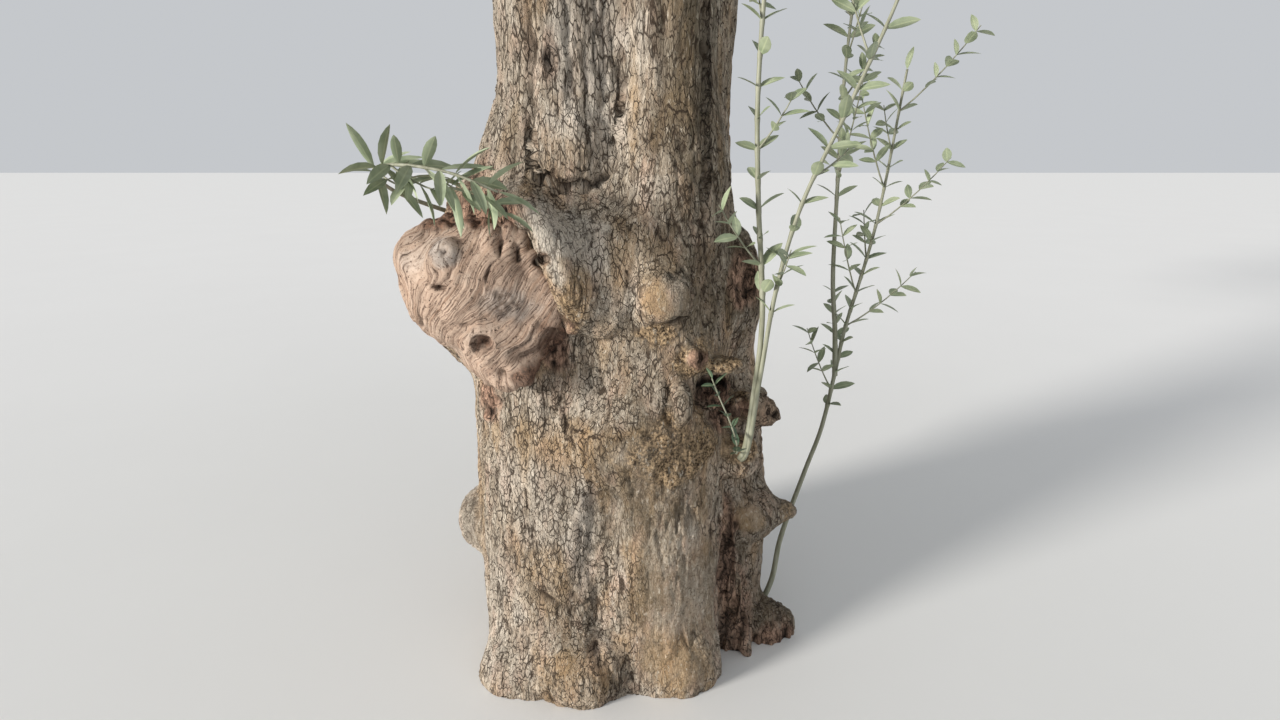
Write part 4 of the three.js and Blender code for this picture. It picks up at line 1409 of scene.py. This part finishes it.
def lay_out_wood():
    """Gives each mass the curve and the radii of the bough or limb that carries it."""
    wood = {}
    for mass in MASSES:
        if "bough" not in mass:
            continue
        x, y, r = STRANDS[mass["bough"]][-1]
        foot = np.array([x, y, FORK_HEIGHT + FOOT_GAP])
        bend = foot + [0, 0, BOUGH_RISE - FOOT_GAP]
        shoulder = foot + (mass["centre"] - foot) * BOUGH_SHOULDER_SHARE
        shoulder[2] = FORK_HEIGHT + BOUGH_SHOULDER_RISE
        curve = bezier(foot, bend, shoulder, entry_of(mass, shoulder))
        wood[mass["bough"]] = mass["wood"] = (curve, r * BOUGH_FOOT_SHARE, r * BOUGH_TIP_SHARE)
    for mass in MASSES:
        if "from" not in mass:
            continue
        bough, share = mass["from"]
        curve, first, last = wood[bough]
        start = curve.at(share)
        radius = LIMB_SHARE * (first + (last - first) * share)
        tip = entry_of(mass, start)
        bend = start + (tip - start) * LIMB_BEND_SHARE
        bend[2] += np.linalg.norm(tip - start) * LIMB_ARCH
        mass["wood"] = (bezier(start, bend, tip), radius, radius * LIMB_TIP_SHARE)


lay_out_wood()


def dress_limb(curve, first, last, sides, step, foot_below):
    """A limb's skin with bark, as rings and shades. It goes on a little way below its foot."""
    if foot_below:
        below = curve.points[0] - [0, 0, foot_below]
        curve = Curve(np.concatenate([below[None], curve.points]))
    t = np.linspace(0, 1, int(curve.length / step) + 1)
    collar = COLLAR_SWELL * np.exp(-t * curve.length / COLLAR_REACH)
    grid = tube_grid(curve, (first + (last - first) * t) * (1 + collar), sides)
    lumpy = first * LUMP_SHARE * noise(grid, (first * 2.2, first * 2.2, first * 3.5), 141)
    turn = 2 * np.pi * np.arange(sides)[None, :] / sides
    along = (t * curve.length * HIGH_SHARE)[:, None] + first * LIMB_SHIFT
    lay = np.stack(np.broadcast_arrays(first * np.cos(turn), first * np.sin(turn), along), axis=-1)
    height, dark, _ = bark_at(grid, lay, np.clip(first / COARSE_RADIUS, 0.45, 1))
    skin = grid + grid_normals(grid) * (height + lumpy)[..., None]
    return skin, bark_shades(grid, lay, dark, np.ones(dark.shape))


def with_tip(values):
    """A grid's numbers in one row, with the first of its last ring again for the tip."""
    flat = values.reshape(-1, *values.shape[2:])
    return np.concatenate([flat, values[-1, :1]])


def dress_wood():
    parts, shades = [], []
    for mass in MASSES:
        if "bough" in mass:
            skin, shade = dress_limb(*mass["wood"], BOUGH_SIDES, BOUGH_STEP, BOUGH_BELOW)
        else:
            skin, shade = dress_limb(*mass["wood"], LIMB_SIDES, LIMB_STEP, 0)
        parts.append(capped(skin))
        shades.append({key: with_tip(values) for key, values in shade.items()})
    whole = {key: np.concatenate([s[key] for s in shades]) for key in shades[0]}
    nodes = [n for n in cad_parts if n.startswith(("bough_", "limb_"))]
    add_piece("boughs", *joined(parts), BARK, "bark", nodes, whole)


# Crown


def in_space(mass, p, limit):
    """Which points lie in a mass's own space, a little way off the others' spaces."""
    own = depth_in(mass, p)
    inside = own <= limit
    for other in MASSES:
        if other is not mass:
            inside &= depth_in(other, p) > own + SPACE_MARGIN * MARGIN_SHARE
    return inside


def stem_of(mass):
    """A mass's stem, which goes on from the end of its bough or limb."""
    curve = mass["wood"][0]
    entry, direction = curve.at(1.0), curve.tangent(1.0)
    towards = mass["centre"] - entry
    end = mass["centre"] + STEM_OVERSHOOT * towards
    end[2] += mass["size"][2] * STEM_RISE
    bend = entry + direction * np.linalg.norm(towards) * STEM_BEND_SHARE
    return bezier(entry, bend, end)


def reach_of(mass, start, direction):
    """How far it is from a point in a direction to where a mass's space ends."""
    r = np.arange(REACH_STEP, LONGEST_REACH, float(REACH_STEP))
    p = start + direction * r[:, None]
    inside = in_space(mass, p, FILL) | ((r < SHORTEST_REACH) & (depth_in(mass, p) < FILL))
    return r[-1] if inside.all() else r[np.argmin(inside)] - REACH_STEP


class Crown:
    """What grows in the masses: branches, twigs, and the leaves of each kind."""

    def __init__(self):
        self.branches = []
        self.twigs = []
        self.leaves = {kind: [] for kind in LEAF_KINDS}

    def grow(self, mass):
        stem = stem_of(mass)
        radii = np.linspace(mass["wood"][2] * STEM_START_SHARE, BRANCH_RADII[0], STEM_POINTS)
        self.branches.append((stem.at(np.linspace(0, 1, STEM_POINTS)), radii))
        for i in range(BRANCHES):
            self.grow_branch(mass, stem, i)

    def grow_branch(self, mass, stem, i):
        is_last = i == MAIN_BRANCHES - 1
        azimuth = i * GOLDEN_ANGLE + mass["seed"]
        scatter = 0
        if i < MAIN_BRANCHES:
            share = 0.1 + 0.9 * (i + 0.6) / MAIN_BRANCHES
        else:
            share = 0.08 + 0.9 * (i - MAIN_BRANCHES + 0.3) / (BRANCHES - MAIN_BRANCHES)
            azimuth += 0.9
            scatter = PITCH_SCATTER * (draw(mass["seed"], i) - 0.5)
        start = stem.at(0.97 if is_last else share)
        pitch = math.radians(LAST_PITCH if is_last else FIRST_PITCH - PITCH_FALL * share + scatter)
        direction = leaning(stem.tangent(share), azimuth, pitch)
        reach = reach_of(mass, start, direction)
        if reach < SHORTEST_REACH:
            return
        bend = start + direction * reach * BRANCH_END * 0.5 + [0, 0, reach * 0.08]
        curve = bezier(start, bend, start + direction * reach * BRANCH_END)
        radii = np.linspace(*BRANCH_RADII, BRANCH_POINTS)
        self.branches.append((curve.at(np.linspace(0, 1, BRANCH_POINTS)), radii))
        count = max(int(curve.length / TWIG_SPACING), FEWEST_TWIGS)
        for k in range(count + 1):
            t = TWIGS_FROM + (1 - TWIGS_FROM) * k / count
            self.grow_twig(mass, curve, t, i * BRANCH_SEEDS + k, k == count)

    def grow_twig(self, mass, curve, t, k, at_tip):
        seed = mass["seed"]
        pitch = 0.15 if at_tip else 0.65 + 0.5 * draw(seed + 1, k)
        direction = leaning(curve.tangent(t), k * GOLDEN_ANGLE + 0.7 * draw(seed, k), pitch)
        root = curve.at(t)
        length = TWIG_LENGTH * (0.75 + 0.5 * draw(seed + 2, k))
        droop = 0.1 + 0.28 * draw(seed + 3, k)
        for shrink in TWIG_TRIES:
            path = drooping(root, direction, length * shrink, droop, TWIG_POINTS)
            if in_space(mass, path[[2, 4]], FILL).all():
                break
        else:
            return
        kind = dealt(draw(seed + 4, k))
        own_seed = seed * MASS_SEEDS + k
        self.add_twig(path, TWIG_RADII, kind, own_seed)
        for n, s in enumerate(TWIGLETS_AT):
            tangent = unit(path[3] - path[1])
            side = leaning(tangent, k + n * 2.4 + 3 * draw(seed + 5, k), 0.7)
            start = path[0] + (path[4] - path[0]) * s
            start[2] = np.interp(s, np.linspace(0, 1, TWIG_POINTS), path[:, 2])
            small = drooping(start, side, length * shrink * 0.5, droop, TWIGLET_POINTS)
            if in_space(mass, small[[3]], FILL + 0.02).all():
                self.add_twig(small, TWIGLET_RADII, kind, own_seed + TWIGLET_SEEDS * (n + 1))

    def add_twig(self, path, radii, kind, seed):
        self.twigs.append((path, radii))
        curve = Curve(path)
        pairs = max(int(curve.length * 0.84 / LEAF_SPACING), 2)
        index = np.arange(pairs * 2 + 1)
        pair = index // 2
        t = np.minimum(0.16 + 0.84 * (pair + 0.4) / pairs, 1)
        tangent = curve.tangent(t)
        azimuth = (index % 2) * np.pi + pair * (np.pi / 2) + 0.8 * draw(seed, index)
        pitch = np.where(index == pairs * 2, 0.1, 0.72 + 0.35 * draw(seed + 1, index))
        direction = leaning(tangent, azimuth, pitch)
        length = LEAF_LENGTH * (0.72 + 0.42 * draw(seed + 2, index)) * (1 - 0.25 * t)
        width = LEAF_WIDTH * (0.8 + 0.4 * draw(seed + 3, index)) * (1 - 0.15 * t)
        turn = 2.2 * (draw(seed + 4, index) - 0.5)
        tips = curve.at(t) + direction * length[:, None]
        near = ((tips > CAD_LOW - REACH_MARGIN) & (tips < CAD_HIGH + REACH_MARGIN)).all(axis=1)
        whole = (curve.at(t), direction, length, width, turn)
        self.leaves[kind].append(tuple(values[near] for values in whole))


def dealt(number):
    """The kind of leaf for a number from 0 to 1."""
    for kind, share in LEAF_KINDS.items():
        number -= share
        if number <= 0:
            return kind
    return kind


def drooping(root, direction, length, droop, count):
    """Points of a twig that bends down along its length."""
    s = np.linspace(0, 1, count)[:, None]
    path = root + direction * s * length
    path[:, 2] -= (droop * length * s**2)[:, 0]
    return path


def leaf_frames(directions, turns):
    """The directions across leaves and out of them, turned a little from the level."""
    level = unit(np.array([0, 0, 1.0]) - directions * directions[:, 2:3])
    normals = level * np.cos(turns)[:, None] + np.cross(directions, level) * np.sin(turns)[:, None]
    return np.cross(normals, directions), normals


# A small leaf's outline: share of the length, share of the width to one side, rise above the flat
FAR_LEAF = np.array(
    [[0, 0, 0], [0.32, -0.5, 0.12], [0.7, -0.4, 0.06], [1, 0, -0.1], [0.7, 0.4, 0.06], [0.32, 0.5, 0.12]]
)
FAR_LEAF_FACES = np.array([[0, 1, 2, 3], [0, 3, 4, 5]])
RISE_SHARE = 0.6


def leaf_mesh(leaves, outline, faces):
    """Points and faces of many leaves from one outline."""
    roots, directions, lengths, widths, turns = (np.concatenate(values) for values in zip(*leaves))
    across, normals = leaf_frames(directions, turns)
    along = outline[None, :, 0, None] * (directions * lengths[:, None])[:, None]
    side = outline[None, :, 1, None] * (across * widths[:, None])[:, None]
    rise = outline[None, :, 2, None] * (normals * lengths[:, None])[:, None] * RISE_SHARE
    points = (roots[:, None] + along + side + rise).reshape(-1, 3)
    start = (np.arange(len(roots)) * len(outline))[:, None, None]
    return points, [(f + start).reshape(-1, f.shape[1]) for f in faces]


def dress_crown():
    crown = Crown()
    for mass in MASSES:
        crown.grow(mass)
    masses = [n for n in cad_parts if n.startswith("foliage_")]
    twigs = [(path, np.linspace(*radii, len(path))) for path, radii in crown.twigs]
    parts = []
    for group, sides in ((crown.branches, BRANCH_SIDES), (twigs, TWIG_SIDES)):
        for count in sorted({len(path) for path, _ in group}):
            paths, radii = zip(*(tube for tube in group if len(tube[0]) == count))
            parts.append(thin_tubes(np.array(paths), np.array(radii), sides))
    add_piece("crown_twigs", *joined(parts), TWIG_BARK, "bark", masses)
    for kind, leaves in crown.leaves.items():
        shape = leaf_mesh(leaves, FAR_LEAF, [FAR_LEAF_FACES])
        add_piece(f"leaves_{kind}", *shape, LEAF_MATERIALS[kind], "leaves", masses)


# Young shoots: the points that each stem passes are those of the part's source

SHOOTS = {
    "shoot_twin": {
        "stems": [
            [
                [300, -120, 640], [318, -222, 690], [335, -238, 860], [343, -250, 1060],
                [318, -250, 1340], [306, -245, 1560], [318, -240, 1900], [365, -215, 2300],
            ],
            [
                [300, -120, 632], [324, -222, 684], [345, -250, 900], [369, -262, 1130],
                [414, -262, 1325], [500, -262, 1530], [600, -255, 1790], [680, -235, 2120],
            ],
        ],
        "radii": (8.5, 3.5),
        "bare": 0.3,
        "spacing": 92,
        "leaf": (64, 26),
        "side_twigs": (4, 150),
    },
    "shoot_root": {
        "stems": [
            [
                [440, 0, 40], [478, 20, 130], [498, 30, 270], [562, 40, 510], [600, 40, 650],
                [628, 40, 850], [640, 40, 950], [700, 45, 1250], [740, 50, 1650],
            ],
            [
                [626, 40, 820], [612, 35, 960], [592, 30, 1100],
                [582, 30, 1320], [574, 30, 1640], [590, 35, 1980],
            ],
        ],
        "radii": (9.5, 3),
        "bare": 0.42,
        "spacing": 84,
        "leaf": (62, 25),
        "side_twigs": (2, 210),
    },
    "shoot_hollow": {
        "stems": [
            [
                [292, -150, 690], [296, -262, 712], [290, -290, 752],
                [270, -300, 812], [240, -304, 880], [220, -312, 930],
            ]
        ],
        "radii": (2.6, 1.6),
        "bare": 0.3,
        "spacing": 44,
        "leaf": (38, 17),
        "side_twigs": (0, 0),
    },
    "shoot_burl": {
        "stems": [
            [
                [-420, -60, 1290], [-520, -190, 1350], [-500, -360, 1400],
                [-400, -470, 1410], [-300, -500, 1395], [-215, -505, 1362],
            ]
        ],
        "radii": (6, 2.2),
        "bare": 0.46,
        "spacing": 58,
        "leaf": (98, 22),
        "side_twigs": (3, 120),
    },
}
STEM_SIDES = 10
STEM_STEP = 9
SECOND_STEM_SHARE = 0.85
SIDE_TWIG_RADII = (2.6, 1.3)
SIDE_TWIG_POINTS = 6
SIDE_TWIG_SIDES = 6
SIDE_TWIG_SPACING = 34
FIRST_SHOOT_SEED = 60
JOINT_SWELL = 0.22
JOINT_REACH = 7
LEAF_STATIONS = ((0.1, 0.42), (0.28, 0.86), (0.5, 1.0), (0.7, 0.86), (0.88, 0.45))
LEAF_SAG = 0.22
LEAF_CUP = 0.09


def near_leaf():
    """A leaf's outline with a rib, and its faces as triangles and quads."""
    outline, rib = [[0, 0, 0]], [1]
    for share, wide in LEAF_STATIONS:
        sag = -LEAF_SAG * share**2
        edge = LEAF_CUP * wide + sag
        outline += [[share, -0.5 * wide, edge], [share, 0, sag], [share, 0.5 * wide, edge]]
        rib += [0, 1, 0]
    outline.append([1, 0, -LEAF_SAG])
    rib.append(1)
    last = len(outline) - 1
    triangles = [[0, 1, 2], [0, 2, 3], [last, last - 2, last - 3], [last, last - 1, last - 2]]
    quads = []
    for n in range(len(LEAF_STATIONS) - 1):
        a = 1 + 3 * n
        quads += [[a, a + 3, a + 4, a + 1], [a + 1, a + 4, a + 5, a + 2]]
    return np.array(outline, float), np.array(rib, float), np.array(triangles), np.array(quads)


def grow_shoot(shoot, seed):
    """Stems as rings, side twigs as paths, and leaves as roots, directions, lengths, widths and turns."""
    stems, twigs, leaves = [], [], []
    length, width = shoot["leaf"]

    def add_leaves(curve, t, azimuth, index, share=1.0):
        index = index + np.arange(2)
        tangents = np.repeat(curve.tangent([t]), 2, axis=0)
        azimuths = azimuth + np.array([0, np.pi]) + 0.5 * draw(seed, index)
        directions = leaning(tangents, azimuths, 0.75 + 0.4 * draw(seed + 1, index))
        lengths = length * share * (0.7 + 0.5 * draw(seed + 2, index))
        widths = width * share * (0.85 + 0.3 * draw(seed + 3, index))
        turns = 1.6 * (draw(seed + 4, index) - 0.5)
        leaves.append((np.repeat(curve.at([t]), 2, axis=0), directions, lengths, widths, turns))

    def add_side_twig(curve, joint, azimuth, index):
        direction = leaning(curve.tangent([joint]), [azimuth], [0.8])[0]
        size = twig_length * (0.6 + 0.7 * draw(seed + 5, index))
        path = drooping(curve.at(joint), direction, size, -0.25, SIDE_TWIG_POINTS)
        twig = Curve(path)
        twigs.append(path)
        count = max(int(size / SIDE_TWIG_SPACING), 2)
        for n in range(count):
            t = min(0.25 + 0.75 * (n + 0.5) / count, 0.99)
            add_leaves(twig, t, n * np.pi / 2, index + 31 * n + 7, 0.85)

    every, twig_length = shoot["side_twigs"]
    for s, points in enumerate(shoot["stems"]):
        curve = through(points)
        first, last = np.array(shoot["radii"]) * (1, SECOND_STEM_SHARE)[s]
        t = np.linspace(0, 1, int(curve.length / STEM_STEP) + 1)
        joints = shoot["bare"] + (1 - shoot["bare"]) * np.arange(0.5, 40) * shoot["spacing"] / curve.length
        joints = joints[joints < 0.99]
        bumps = [np.exp(-(((t - joint) * curve.length / JOINT_REACH) ** 2)) for joint in joints]
        radii = (first + (last - first) * t**0.8) * (1 + sum(JOINT_SWELL * bump for bump in bumps))
        stems.append(tube_grid(curve, radii, STEM_SIDES))
        for k, joint in enumerate(joints):
            index = 100 * s + 2 * k
            add_leaves(curve, joint, k * np.pi / 2 + s, index)
            if every and k % every == 1:
                add_side_twig(curve, joint, k * 2.1 + s, index)
        sizes = (np.array([length * 0.9]), np.array([width * 0.9]), np.array([0.3]))
        leaves.append((curve.at([1.0]), curve.tangent([1.0]), *sizes))
    return stems, twigs, leaves


def dress_shoots():
    outline, rib, triangles, quads = near_leaf()
    for i, (name, shoot) in enumerate(SHOOTS.items()):
        stems, twigs, leaves = grow_shoot(shoot, FIRST_SHOOT_SEED + i)
        parts = [capped(stem) for stem in stems]
        if twigs:
            radii = np.tile(np.linspace(*SIDE_TWIG_RADII, SIDE_TWIG_POINTS), (len(twigs), 1))
            parts.append(thin_tubes(np.array(twigs), radii, SIDE_TWIG_SIDES))
        add_piece(f"{name}_stems", *joined(parts), YOUNG_BARK, "young_shoots", [name])
        points, faces = leaf_mesh(leaves, outline, [quads, triangles])
        ribs = {"rib": np.tile(rib, len(points) // len(rib))}
        # Painted shade: the shoot in the hollow gets the darker leaves
        material = LEAF_MATERIALS["hollow" if name == "shoot_hollow" else "shoot"]
        add_piece(f"{name}_leaves", points, faces, material, "leaves", [name], ribs)


# Floor, light and camera

FLOOR_REACH = 400
FLOOR_COLOURS = (0.78, 0.775, 0.765), (0.81, 0.805, 0.795)
LIT_PLACE = (0, 0, 1.0)


def dress_stage():
    mesh = bpy.data.meshes.new("floor")
    corners = [(-1, -1), (1, -1), (1, 1), (-1, 1)]
    mesh.from_pydata([(FLOOR_REACH * x, FLOOR_REACH * y, 0) for x, y in corners], [], [(0, 1, 2, 3)])
    material, tree, shader = node_material("floor", 1, 0)
    tree.links.new(mixed(tree, *FLOOR_COLOURS, own_noise(tree, 0.7)), shader.inputs["Base Color"])
    mesh.materials.append(material)
    floor = placed("floor", mesh)


def add_sun(name, place, strength, width, colour):
    """A far light that shines from a place at the tree. Its width is in degrees."""
    light = bpy.data.lights.new(name, "SUN")
    light.energy = strength
    light.angle = math.radians(width)
    light.color = colour
    holder = placed(name, light)
    holder.location = place
    x, y, z = np.array(LIT_PLACE) - np.array(place)
    holder.rotation_euler = (math.acos(-z / math.hypot(x, y, z)), 0, math.atan2(y, x) - math.pi / 2)


def dress_light():
    world = bpy.data.worlds.new("sky")
    world.use_nodes = True
    background = world.node_tree.nodes["Background"]
    background.inputs["Color"].default_value = (0.93, 0.96, 1, 1)
    background.inputs["Strength"].default_value = 0.6
    bpy.context.scene.world = world
    add_sun("key", (-5.3, -2.9, 2.3), 5.2, 12, (1, 0.965, 0.91))
    add_sun("fill", (3.6, -4.6, 2.6), 0.3, 60, (0.94, 0.97, 1))


def dress_camera():
    camera = bpy.data.cameras.new("camera")
    camera.sensor_width = SENSOR_WIDTH
    camera.lens = SENSOR_WIDTH * FOCAL_PIXELS / IMAGE_WIDTH
    holder = placed("camera", camera)
    holder.location = CAMERA_PLACE
    holder.rotation_euler = (math.radians(90 - CAMERA_PITCH), 0, 0)
    bpy.context.scene.camera = holder


dress_stage()
dress_light()
dress_camera()
dress_trunk()
dress_burl()
dress_wood()
dress_crown()
dress_shoots()
bpy.context.scene.view_settings.view_transform = "Standard"
